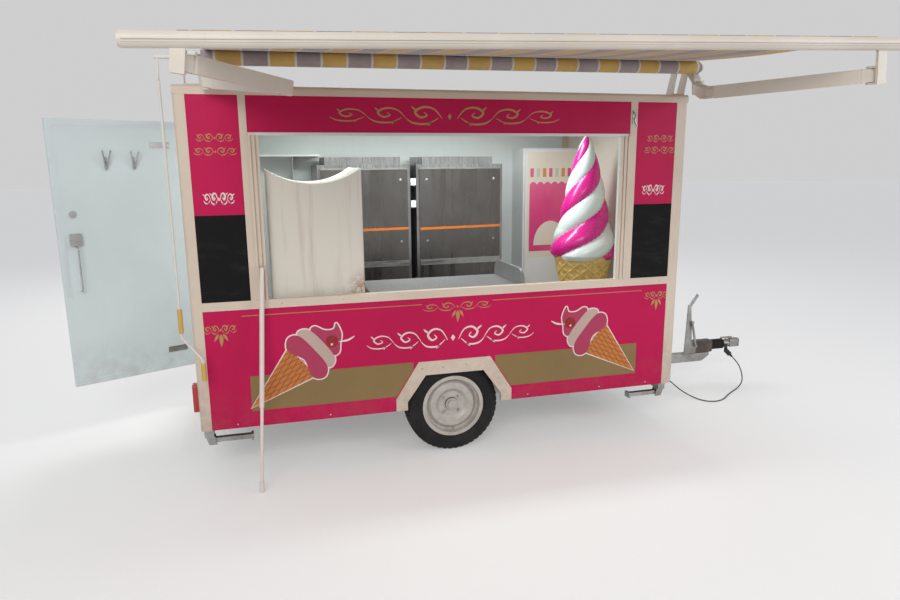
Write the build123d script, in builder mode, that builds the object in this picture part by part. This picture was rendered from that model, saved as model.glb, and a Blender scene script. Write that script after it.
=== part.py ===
from build123d import *
import os
from math import atan2, cos, hypot, radians, sin, sqrt, tan

# A single-axle food trailer for soft ice cream, parked on its jockey wheel, with its awning out and its
# rear door open. Millimetres. +X runs ahead to the coupling, +Y away from the serving side, +Z up.

os.makedirs("parts", exist_ok=True)

# Body
BODY_LENGTH = 3000
BODY_WIDTH = 1700
BODY_BOTTOM = 312
BODY_TOP = 2182
WALL = 30
SHEET = 4
SHEET_INSET = 2
REAR_POST = 60
FRONT_POST = 78
POST_LEG = 60
POST_ROUND = 20
TOP_RAIL = 49
SILL_RAIL = 49
SILL_TOP = 1045
SILL_PROUD = 3
SILL_LEDGE = 6
LEDGE_IN = 5
FLOOR_THICK = 40
ROOF_THICK = 30
ROOF_CAMBER = 12
ROOF_MARGIN = 150
BUTT_GAP = 0.3

# Serving side
REAR_STRIP_END = 317
FRONT_STRIP_WIDE = 349
REAR_MULLION = 38
FRONT_MULLION = 46
WINDOW_START = 410
WINDOW_BEFORE_FRONT = 454
WINDOW_TOP = 1930
HEADER_BOTTOM = 1945
BOARD_TOP = 1515
GUIDE_DEPTH = 14
GROOVE = 8

# Wheels, axle and wheel arches
AXLE_X = 1481
TYRE_RADIUS = 291.5
TYRE_WIDTH = 175
TYRE_INSET = 37.5
BEAD_RADIUS = 178
FLANGE_RADIUS = 195
RIM_STEEL = 5
DISC_OFFSET = 57.5
RIM_BORE = 85
BOLT_CIRCLE = 130
BOLT_HOLE = 14
DRUM_RADIUS = 115
DRUM_DEPTH = 70
ARM_REACH = 120
BEAM_SIZE = 60
ARCH_FOOT = 368
ARCH_KNEE = 386
ARCH_TOP = 608
ARCH_TOP_HALF = 226
TRIM_FOOT = 70
TRIM_HEAD = 85
TRIM_THICK = 3
TUB_HALF = 360
TUB_KNEE = 450
TUB_TOP = 660
TUB_TOP_HALF = 215
TUB_DEPTH = 254
TUB_STEEL = 3

# Chassis, drawbar and overrun coupling
RAIL_HEIGHT = 60
RAIL_WIDTH = 50
RAIL_IN = 300
DRAWBAR_Y = 850
DRAWBAR_SIZE = 70
DRAWBAR_TOP = 225
DRAWBAR_START = 1900
DRAWBAR_END = 3900
HOUSING_START = 3720
HOUSING_END = 3920
HOUSING_TOP = 325
BELLOWS_END = 4046
COUPLING_TIP = 4205
BALL_X = 4130
BALL_RADIUS = 25
TOW_Z = 280
BRAKE_PIVOT_X = 3680

# Jockey wheel
JOCKEY_X = 3430
JOCKEY_OUT = 105
JOCKEY_TUBE = 60
JOCKEY_LEG = 48
JOCKEY_RADIUS = 80
JOCKEY_WIDTH = 45
JOCKEY_TRAIL = 30

# Corner steadies
STEADY_IN = 55
STEADY_WIDTH = 32

# Rear door, hinged on the far side and standing part open
DOOR_WIDTH = 900
DOOR_BOTTOM = 360
DOOR_TOP = 2065
DOOR_THICK = 30
DOOR_LAP = 25
DOOR_GAP = 5
DOOR_PIN_Y = 1312
DOOR_OPEN = 64.5
DOOR_RIM = 40
RIM_PROUD = 2
HINGE_HEIGHTS = (500, 1910)
HINGE_PIN = 5
PIN_PLAY = 0.08

# Awning: everything is laid out on a plane through the roll, tilted along and pitched out
AWNING_TILT = 0.6
AWNING_PITCH = 6
AWNING_OUT = 50
AWNING_Z = 2320
ROLL_START = 160
ROLL_OVER = 15
ROLL_RADIUS = 37.5
TORSION_BAR = 40
TORSION_BACK = 62
ARM_LENGTH = 720
ARM_HEIGHT = 60
ARM_WIDTH = 40
ARM_SHIFT = 23
ARM_CANT = 8
SHOULDER_DROP = 116
SHOULDER_REAR_IN = 15
SHOULDER_FRONT_OUT = 5
SHOULDER_OUT = 40
HAND_DROP = 62
HAND_OUT = 1267
BAR_OUT = 1307
BAR_DEPTH = 45
BAR_HEIGHT = 52
BAR_RISE = 34
BAR_TILT = 1.2
BAR_OVER_REAR = 150
BAR_OVER_FRONT = 195
CLOTH_THICK = 3
CLOTH_SIDE = 20
ARM_PIN = 8

# Places worked out from the sizes
LEAF_START = 12
DOOR_PIN_X = -(DOOR_GAP + DOOR_THICK / 2)
DOOR_TURN = radians(DOOR_OPEN)
REAR_REACH = DOOR_PIN_X - (LEAF_START + DOOR_WIDTH) * sin(DOOR_TURN) - DOOR_THICK / 2 * cos(DOOR_TURN)
ROLL_HALF = (BODY_LENGTH + ROLL_OVER - ROLL_START) / 2
AWNING_MID = ROLL_START + ROLL_HALF
SHOULDER_REAR = ROLL_HALF - SHOULDER_REAR_IN
SHOULDER_FRONT = ROLL_HALF + SHOULDER_FRONT_OUT
BAR_REAR = ROLL_HALF + BAR_OVER_REAR
BAR_FRONT = ROLL_HALF + BAR_OVER_FRONT
BAR_PEAK = BAR_RISE + BAR_FRONT * tan(radians(BAR_TILT))
BAR_REACH = (BAR_OUT + BAR_DEPTH / 2) * cos(radians(AWNING_PITCH)) + BAR_PEAK * sin(radians(AWNING_PITCH))
NEAR_REACH = -AWNING_OUT - BAR_REACH
X0 = -(REAR_REACH + COUPLING_TIP) / 2
Y0 = -(NEAR_REACH + BODY_WIDTH) / 2
RAIL_BOTTOM = BODY_BOTTOM - RAIL_HEIGHT
FLOOR_TOP = BODY_BOTTOM + FLOOR_THICK
WALL_TOP = BODY_TOP - TOP_RAIL
SILL_BOTTOM = SILL_TOP - SILL_RAIL
SHEET_BACK = SHEET_INSET + SHEET
CEILING = BODY_TOP - ROOF_THICK
FRONT_STRIP_START = BODY_LENGTH - FRONT_STRIP_WIDE
WINDOW_END = BODY_LENGTH - WINDOW_BEFORE_FRONT
GUIDE_START = REAR_STRIP_END + REAR_MULLION
GUIDE_END = FRONT_STRIP_START - FRONT_MULLION


def slab(x1, x2, y1, y2, z1, z2, mode=Mode.ADD):
    """A block between two stations along the body, across it and up from the ground."""
    with Locations((X0 + (x1 + x2) / 2, Y0 + (y1 + y2) / 2, (z1 + z2) / 2)):
        Box(x2 - x1, y2 - y1, z2 - z1, mode=mode)


def side_plane(y):
    """Sketch plane facing the serving side: x is along the body, y is up."""
    return Plane((X0, Y0 + y, 0), x_dir=(1, 0, 0), z_dir=(0, -1, 0))


def end_plane(x):
    """Sketch plane facing ahead: x is across the body from the serving face, y is up."""
    return Plane((X0 + x, Y0, 0), x_dir=(0, 1, 0), z_dir=(1, 0, 0))


def level(z):
    """Sketch plane at a height: x is along the body, y is across it."""
    return Plane((X0, Y0, z), x_dir=(1, 0, 0), z_dir=(0, 0, 1))


def arch_outline(foot, knee, top_half, top):
    """The points of a wheel arch about the axle, open at the body's bottom edge."""
    return [
        (AXLE_X - foot, BODY_BOTTOM),
        (AXLE_X - foot, knee),
        (AXLE_X - top_half, top),
        (AXLE_X + top_half, top),
        (AXLE_X + foot, knee),
        (AXLE_X + foot, BODY_BOTTOM),
    ]


TRIM_OUTSIDE = arch_outline(ARCH_FOOT, ARCH_KNEE, ARCH_TOP_HALF, ARCH_TOP)
TRIM_KNEE = ARCH_KNEE - TRIM_FOOT / 3
TRIM_INSIDE = arch_outline(ARCH_FOOT - TRIM_FOOT, TRIM_KNEE, ARCH_TOP_HALF - TRIM_HEAD / 2, ARCH_TOP - TRIM_HEAD)
# The two long sides: where the outer face lies, and which way is out from there
SIDES = ((0, -1), (BODY_WIDTH, 1))

# Posts: angle extrusions with a rounded outer corner, and a flat mullion each side of the window
# columns: rear or front face, width along the body, direction in from that face
POST_ENDS = ((0, REAR_POST, 1), (BODY_LENGTH, FRONT_POST, -1))
with BuildPart() as posts:
    for face_x, width, inward in POST_ENDS:
        for face_y, out in SIDES:
            with BuildSketch(level(BODY_BOTTOM)) as post_plan:
                with BuildLine():
                    Polyline(
                        (face_x, face_y),
                        (face_x + inward * width, face_y),
                        (face_x + inward * width, face_y - out * WALL),
                        (face_x + inward * WALL, face_y - out * WALL),
                        (face_x + inward * WALL, face_y - out * POST_LEG),
                        (face_x, face_y - out * POST_LEG),
                        close=True,
                    )
                make_face()
                corner = post_plan.vertices().sort_by_distance((face_x, face_y, 0))[0]
                fillet(corner, POST_ROUND)
            extrude(amount=WALL_TOP - BODY_BOTTOM - BUTT_GAP)
    slab(REAR_STRIP_END, GUIDE_START, 0, SHEET_BACK, SILL_TOP, WALL_TOP)
    slab(GUIDE_END, FRONT_STRIP_START, 0, SHEET_BACK, SILL_TOP, WALL_TOP)
posts.part.label = "posts"
export_step(posts.part, "parts/posts.step")

# Roof rails: long rails over the posts, and end rails cut between them
with BuildPart() as roof_rails:
    for face_y, out in SIDES:
        with BuildSketch(end_plane(0)) as rail_section:
            with BuildLine():
                Polyline(
                    (face_y, WALL_TOP),
                    (face_y - out * WALL, WALL_TOP),
                    (face_y - out * WALL, BODY_TOP),
                    (face_y, BODY_TOP),
                    close=True,
                )
            make_face()
            fillet(rail_section.vertices().sort_by_distance((face_y, BODY_TOP, 0))[0], POST_ROUND)
        extrude(amount=BODY_LENGTH)
    for face_x, inward in ((0, 1), (BODY_LENGTH, -1)):
        with BuildSketch(side_plane(WALL + BUTT_GAP)) as rail_section:
            with BuildLine():
                Polyline(
                    (face_x, WALL_TOP),
                    (face_x + inward * WALL, WALL_TOP),
                    (face_x + inward * WALL, BODY_TOP),
                    (face_x, BODY_TOP),
                    close=True,
                )
            make_face()
            fillet(rail_section.vertices().sort_by_distance((face_x, BODY_TOP, 0))[0], POST_ROUND)
        extrude(amount=-(BODY_WIDTH - 2 * WALL - 2 * BUTT_GAP))
roof_rails.part.label = "roof_rails"
export_step(roof_rails.part, "parts/roof_rails.step")

# Serving wall: one sandwich panel with the window and the wheel arch cut out
with BuildPart() as wall_serving:
    slab(REAR_POST, BODY_LENGTH - FRONT_POST, SHEET_BACK, WALL, BODY_BOTTOM, WALL_TOP)
    slab(WINDOW_START, WINDOW_END, 0, WALL + 1, SILL_TOP - SILL_LEDGE, WINDOW_TOP, mode=Mode.SUBTRACT)
    with BuildSketch(side_plane(WALL + 1)):
        with BuildLine():
            Polyline(*TRIM_INSIDE, close=True)
        make_face()
    extrude(amount=WALL + 1, mode=Mode.SUBTRACT)
wall_serving.part.label = "wall_serving"
export_step(wall_serving.part, "parts/wall_serving.step")

# Far wall: the same panel with the arch alone
with BuildPart() as wall_far:
    slab(
        REAR_POST,
        BODY_LENGTH - FRONT_POST,
        BODY_WIDTH - WALL,
        BODY_WIDTH - SHEET_BACK,
        BODY_BOTTOM,
        WALL_TOP,
    )
    with BuildSketch(side_plane(BODY_WIDTH)):
        with BuildLine():
            Polyline(*TRIM_INSIDE, close=True)
        make_face()
    extrude(amount=WALL + 1, mode=Mode.SUBTRACT)
wall_far.part.label = "wall_far"
export_step(wall_far.part, "parts/wall_far.step")

# Front wall: one plain panel between the posts
with BuildPart() as wall_front:
    slab(
        BODY_LENGTH - WALL,
        BODY_LENGTH - SHEET_INSET,
        POST_LEG,
        BODY_WIDTH - POST_LEG,
        BODY_BOTTOM,
        WALL_TOP,
    )
wall_front.part.label = "wall_front"
export_step(wall_front.part, "parts/wall_front.step")

# Rear wall with the doorway
DOORWAY_FAR = DOOR_PIN_Y - LEAF_START - DOOR_LAP
DOORWAY_NEAR = DOORWAY_FAR - (DOOR_WIDTH - 2 * DOOR_LAP)
with BuildPart() as wall_rear:
    slab(SHEET_INSET, WALL, POST_LEG, BODY_WIDTH - POST_LEG, BODY_BOTTOM, WALL_TOP)
    slab(0, WALL + 1, DOORWAY_NEAR, DOORWAY_FAR, DOOR_BOTTOM + DOOR_LAP, DOOR_TOP - DOOR_LAP, mode=Mode.SUBTRACT)
wall_rear.part.label = "wall_rear"
export_step(wall_rear.part, "parts/wall_rear.step")

# Roof: a panel with a slight crown, between the rails
with BuildPart() as roof:
    with BuildSketch(end_plane(WALL)):
        with BuildLine():
            edges = Polyline(
                (ROOF_MARGIN, BODY_TOP),
                (WALL, BODY_TOP),
                (WALL, CEILING),
                (BODY_WIDTH - WALL, CEILING),
                (BODY_WIDTH - WALL, BODY_TOP),
                (BODY_WIDTH - ROOF_MARGIN, BODY_TOP),
            )
            ThreePointArc(edges @ 1, (BODY_WIDTH / 2, BODY_TOP + ROOF_CAMBER), edges @ 0)
        make_face()
    extrude(amount=BODY_LENGTH - 2 * WALL)
roof.part.label = "roof"
export_step(roof.part, "parts/roof.step")

# Floor, cut round the two wheel tubs
with BuildPart() as floor:
    slab(WALL, BODY_LENGTH - WALL, WALL, BODY_WIDTH - WALL, BODY_BOTTOM, FLOOR_TOP)
    for y1, y2 in ((WALL, WALL + TUB_DEPTH), (BODY_WIDTH - WALL - TUB_DEPTH, BODY_WIDTH - WALL)):
        slab(AXLE_X - TUB_HALF, AXLE_X + TUB_HALF, y1, y2, BODY_BOTTOM, FLOOR_TOP, mode=Mode.SUBTRACT)
floor.part.label = "floor"
export_step(floor.part, "parts/floor.step")

# Lower side panels: pressed sheets over the walls below the sill, cut for the arch
with BuildPart() as lower_panels:
    for face_y, out in SIDES:
        with BuildSketch(side_plane(face_y - out * SHEET_INSET)):
            with BuildLine():
                Polyline(
                    (REAR_POST, SILL_BOTTOM),
                    (REAR_POST, BODY_BOTTOM),
                    *TRIM_INSIDE,
                    (BODY_LENGTH - FRONT_POST, BODY_BOTTOM),
                    (BODY_LENGTH - FRONT_POST, SILL_BOTTOM),
                    close=True,
                )
            make_face()
        extrude(amount=out * SHEET)
lower_panels.part.label = "lower_panels"
export_step(lower_panels.part, "parts/lower_panels.step")

# Upper panels of the serving side: a strip each side of the window and a header over it
with BuildPart() as upper_panels:
    slab(REAR_POST, REAR_STRIP_END, SHEET_INSET, SHEET_BACK, BOARD_TOP, WALL_TOP)
    slab(FRONT_STRIP_START, BODY_LENGTH - FRONT_POST, SHEET_INSET, SHEET_BACK, BOARD_TOP, WALL_TOP)
    slab(GUIDE_START, GUIDE_END, SHEET_INSET, SHEET_BACK, HEADER_BOTTOM, WALL_TOP)
upper_panels.part.label = "upper_panels"
export_step(upper_panels.part, "parts/upper_panels.step")

# Chalkboards below the two strips
with BuildPart() as chalkboards:
    slab(REAR_POST, REAR_STRIP_END, SHEET_INSET, SHEET_BACK, SILL_TOP, BOARD_TOP)
    slab(FRONT_STRIP_START, BODY_LENGTH - FRONT_POST, SHEET_INSET, SHEET_BACK, SILL_TOP, BOARD_TOP)
chalkboards.part.label = "chalkboards"
export_step(chalkboards.part, "parts/chalkboards.step")

# Side trims: sill rails, with a ledge over the cut edge of the serving wall, and a flat plate round each arch
with BuildPart() as side_trims:
    slab(REAR_POST, BODY_LENGTH - FRONT_POST, -SILL_PROUD, SHEET_BACK, SILL_BOTTOM, SILL_TOP)
    slab(WINDOW_START, WINDOW_END, SHEET_BACK, WALL + LEDGE_IN, SILL_TOP - SILL_LEDGE, SILL_TOP)
    edges_out = side_trims.edges().filter_by(Axis.X).sort_by(Axis.Y)[:2]
    fillet(edges_out, SILL_PROUD - 1)
    slab(
        REAR_POST,
        BODY_LENGTH - FRONT_POST,
        BODY_WIDTH - SHEET_BACK,
        BODY_WIDTH,
        SILL_BOTTOM,
        SILL_TOP,
    )
    for face_y, out in SIDES:
        with BuildSketch(side_plane(face_y - out * SHEET_INSET)):
            with BuildLine():
                Polyline(*TRIM_OUTSIDE, *reversed(TRIM_INSIDE), close=True)
            make_face()
        extrude(amount=-out * TRIM_THICK)
side_trims.part.label = "side_trims"
export_step(side_trims.part, "parts/side_trims.step")

# Shutter guides: twin-groove channels up each jamb of the window, with the prop pole's fork on the rear one
POLE_X = 385
POLE_OUT = 30
POLE_TOP = 1223
POLE_RADIUS = 13
POLE_PIN = 4
POLE_FORK = 4
POLE_FORK_GAP = 2
with BuildPart() as shutter_guides:
    for x1, x2 in ((GUIDE_START, WINDOW_START), (WINDOW_END, GUIDE_END)):
        width = x2 - x1
        with BuildSketch(level(SILL_TOP)):
            with Locations(((x1 + x2) / 2, SHEET_BACK - GUIDE_DEPTH / 2)):
                Rectangle(width, GUIDE_DEPTH)
            for share in (0.32, 0.72):
                with Locations((x1 + share * width, SHEET_BACK - GUIDE_DEPTH + GROOVE / 2)):
                    Rectangle(GROOVE, GROOVE, mode=Mode.SUBTRACT)
        extrude(amount=WINDOW_TOP - SILL_TOP)
    fork_half = POLE_RADIUS + POLE_FORK_GAP
    for x1 in (POLE_X - fork_half - POLE_FORK, POLE_X + fork_half):
        slab(
            x1,
            x1 + POLE_FORK,
            -POLE_OUT - POLE_RADIUS,
            SHEET_BACK - GUIDE_DEPTH + GROOVE,
            POLE_TOP - POLE_RADIUS,
            POLE_TOP + POLE_RADIUS,
        )
    with BuildSketch(end_plane(POLE_X - fork_half - POLE_FORK)):
        with Locations((-POLE_OUT, POLE_TOP)):
            Circle(POLE_PIN)
    extrude(amount=2 * (fork_half + POLE_FORK))
shutter_guides.part.label = "shutter_guides"
export_step(shutter_guides.part, "parts/shutter_guides.step")

# Wheel tubs: folded steel boxes over the tyres, open below and towards the arch
TUB_OUTSIDE = arch_outline(TUB_HALF, TUB_KNEE, TUB_TOP_HALF, TUB_TOP)
TUB_INSIDE = arch_outline(
    TUB_HALF - TUB_STEEL,
    TUB_KNEE - TUB_STEEL / 2,
    TUB_TOP_HALF - TUB_STEEL / 2,
    TUB_TOP - TUB_STEEL,
)
with BuildPart() as wheel_tubs:
    for face_y, out in SIDES:
        inner_face = face_y - out * WALL
        with BuildSketch(side_plane(inner_face)):
            with BuildLine():
                Polyline(*TUB_OUTSIDE, close=True)
            make_face()
        extrude(amount=out * TUB_DEPTH)
        with BuildSketch(side_plane(inner_face)):
            with BuildLine():
                Polyline(*TUB_INSIDE, close=True)
            make_face()
        extrude(amount=out * (TUB_DEPTH - TUB_STEEL), mode=Mode.SUBTRACT)
wheel_tubs.part.label = "wheel_tubs"
export_step(wheel_tubs.part, "parts/wheel_tubs.step")

# Chassis: two long rails, cross members between them, full-width members at the ends, and a pair of cheeks
# with a pin at each corner for the steadies
RAIL_ENDS = REAR_POST
CROSS_DEEP = 50
CROSS_STATIONS = (980, DRAWBAR_START, 2400)
STEADY_Z = RAIL_BOTTOM - 27
STEADY_HALF = STEADY_WIDTH / 2
CHEEK = 5
CHEEK_GAP = 5
STEADY_Y = 91
STEADY_PIN = 6
# columns: name, pivot station, way the folded leg points
STEADY_ENDS = (("rear", STEADY_IN, 1), ("front", BODY_LENGTH - STEADY_IN, -1))
with BuildPart() as chassis:
    for y1 in (RAIL_IN, BODY_WIDTH - RAIL_IN - RAIL_WIDTH):
        slab(RAIL_ENDS, BODY_LENGTH - RAIL_ENDS, y1, y1 + RAIL_WIDTH, RAIL_BOTTOM, BODY_BOTTOM)
    for x1 in (RAIL_ENDS - CROSS_DEEP, BODY_LENGTH - RAIL_ENDS):
        slab(x1, x1 + CROSS_DEEP, POST_LEG, BODY_WIDTH - POST_LEG, RAIL_BOTTOM, BODY_BOTTOM)
    for x1 in CROSS_STATIONS:
        slab(
            x1,
            x1 + CROSS_DEEP,
            RAIL_IN + RAIL_WIDTH,
            BODY_WIDTH - RAIL_IN - RAIL_WIDTH,
            RAIL_BOTTOM,
            BODY_BOTTOM,
        )
    for end_name, pivot_x, way in STEADY_ENDS:
        for centre_y in (STEADY_Y, BODY_WIDTH - STEADY_Y):
            for y1 in (centre_y - STEADY_HALF - CHEEK_GAP - CHEEK, centre_y + STEADY_HALF + CHEEK_GAP):
                with BuildSketch(side_plane(y1)):
                    with BuildLine():
                        Polyline(
                            (pivot_x - way * 40, RAIL_BOTTOM),
                            (pivot_x - way * 22, STEADY_Z - 24),
                            (pivot_x + way * 22, STEADY_Z - 24),
                            (pivot_x + way * 10, RAIL_BOTTOM),
                            close=True,
                        )
                    make_face()
                extrude(amount=-CHEEK)
            with BuildSketch(side_plane(centre_y - STEADY_HALF - CHEEK_GAP - CHEEK)):
                with Locations((pivot_x, STEADY_Z)):
                    Circle(STEADY_PIN)
            extrude(amount=-2 * (STEADY_HALF + CHEEK_GAP + CHEEK))
            slab(
                min(pivot_x - way * 45, pivot_x + way * 5),
                max(pivot_x - way * 45, pivot_x + way * 5),
                centre_y - STEADY_HALF - CHEEK_GAP - CHEEK,
                centre_y + STEADY_HALF + CHEEK_GAP + CHEEK,
                RAIL_BOTTOM - 4,
                RAIL_BOTTOM,
            )
chassis.part.label = "chassis"
export_step(chassis.part, "parts/chassis.step")

# Drawbar: one central box beam with its front end cut back, hung from two cross members by saddles
DRAWBAR_HALF = DRAWBAR_SIZE / 2
DRAWBAR_BOTTOM = DRAWBAR_TOP - DRAWBAR_SIZE
DRAWBAR_WALL = 4
SADDLE = 8
SADDLE_STATIONS = (DRAWBAR_START, BODY_LENGTH - RAIL_ENDS)
GLAND_X = 3330
GLAND_Z = 190
GLAND_RADIUS = 9
GLAND_LONG = 20
with BuildPart() as drawbar:
    with BuildSketch(side_plane(DRAWBAR_Y - DRAWBAR_HALF)):
        with BuildLine():
            Polyline(
                (DRAWBAR_START, DRAWBAR_BOTTOM),
                (DRAWBAR_END - DRAWBAR_SIZE, DRAWBAR_BOTTOM),
                (DRAWBAR_END, DRAWBAR_TOP - DRAWBAR_SIZE / 3),
                (DRAWBAR_END, DRAWBAR_TOP),
                (DRAWBAR_START, DRAWBAR_TOP),
                close=True,
            )
        make_face()
    extrude(amount=-DRAWBAR_SIZE)
    fillet(drawbar.edges().filter_by(Axis.X), 6)
    slab(
        DRAWBAR_START - 1,
        DRAWBAR_END - DRAWBAR_SIZE - 10,
        DRAWBAR_Y - DRAWBAR_HALF + DRAWBAR_WALL,
        DRAWBAR_Y + DRAWBAR_HALF - DRAWBAR_WALL,
        DRAWBAR_BOTTOM + DRAWBAR_WALL,
        DRAWBAR_TOP - DRAWBAR_WALL,
        mode=Mode.SUBTRACT,
    )
    for x1 in SADDLE_STATIONS:
        reach = DRAWBAR_HALF + SADDLE
        slab(x1, x1 + CROSS_DEEP, DRAWBAR_Y - reach, DRAWBAR_Y + reach, RAIL_BOTTOM - SADDLE, RAIL_BOTTOM)
        for y1 in (DRAWBAR_Y - reach, DRAWBAR_Y + DRAWBAR_HALF):
            slab(x1, x1 + CROSS_DEEP, y1, y1 + SADDLE, DRAWBAR_BOTTOM + 10, RAIL_BOTTOM)
    with BuildSketch(side_plane(DRAWBAR_Y - DRAWBAR_HALF)):
        with Locations((GLAND_X, GLAND_Z)):
            Circle(GLAND_RADIUS)
    extrude(amount=GLAND_LONG)
drawbar.part.label = "drawbar"
export_step(drawbar.part, "parts/drawbar.step")

# Axle: a square beam under the rails, a trailing arm at each end, and the stub each drum runs on
BEAM_X = AXLE_X + ARM_REACH
BEAM_Z = RAIL_BOTTOM - BEAM_SIZE / 2
ARM_INSIDE = 252
ARM_THICK = 30
DRUM_FACE = TYRE_INSET + DISC_OFFSET
DRUM_BACK = DRUM_FACE + DRUM_DEPTH
BACKPLATE_GAP = 5
BACKPLATE = 5
STUB_RADIUS = 20
BEARING_PLAY = 0.1
STUB_START = DRUM_FACE + 15
with BuildPart() as axle:
    slab(
        BEAM_X - BEAM_SIZE / 2,
        BEAM_X + BEAM_SIZE / 2,
        ARM_INSIDE,
        BODY_WIDTH - ARM_INSIDE,
        BEAM_Z - BEAM_SIZE / 2,
        BEAM_Z + BEAM_SIZE / 2,
    )
    for face_y, out in SIDES:
        with BuildSketch(side_plane(face_y - out * ARM_INSIDE)):
            make_hull(
                [
                    *Edge.make_circle(46, Plane((BEAM_X, BEAM_Z))).edges(),
                    *Edge.make_circle(36, Plane((AXLE_X, TYRE_RADIUS))).edges(),
                ]
            )
        extrude(amount=-out * ARM_THICK)
        with BuildSketch(side_plane(face_y - out * (ARM_INSIDE - ARM_THICK))):
            with Locations((AXLE_X, TYRE_RADIUS)):
                Circle(STUB_RADIUS)
        extrude(amount=-out * (ARM_INSIDE - ARM_THICK - STUB_START))
        with BuildSketch(side_plane(face_y - out * (DRUM_BACK + BACKPLATE_GAP + BACKPLATE))):
            with Locations((AXLE_X, TYRE_RADIUS)):
                Circle(DRUM_RADIUS)
        extrude(amount=-out * BACKPLATE)
axle.part.label = "axle"
export_step(axle.part, "parts/axle.step")


def wheel_plane(face_y, out):
    """Sketch plane through a wheel's axis: x is the depth in from the tyre's outer face, y is the radius."""
    origin = (X0 + AXLE_X, Y0 + face_y - out * TYRE_INSET, TYRE_RADIUS)
    return Plane(origin, x_dir=(0, -out, 0), z_dir=(-out, 0, 0))


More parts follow.
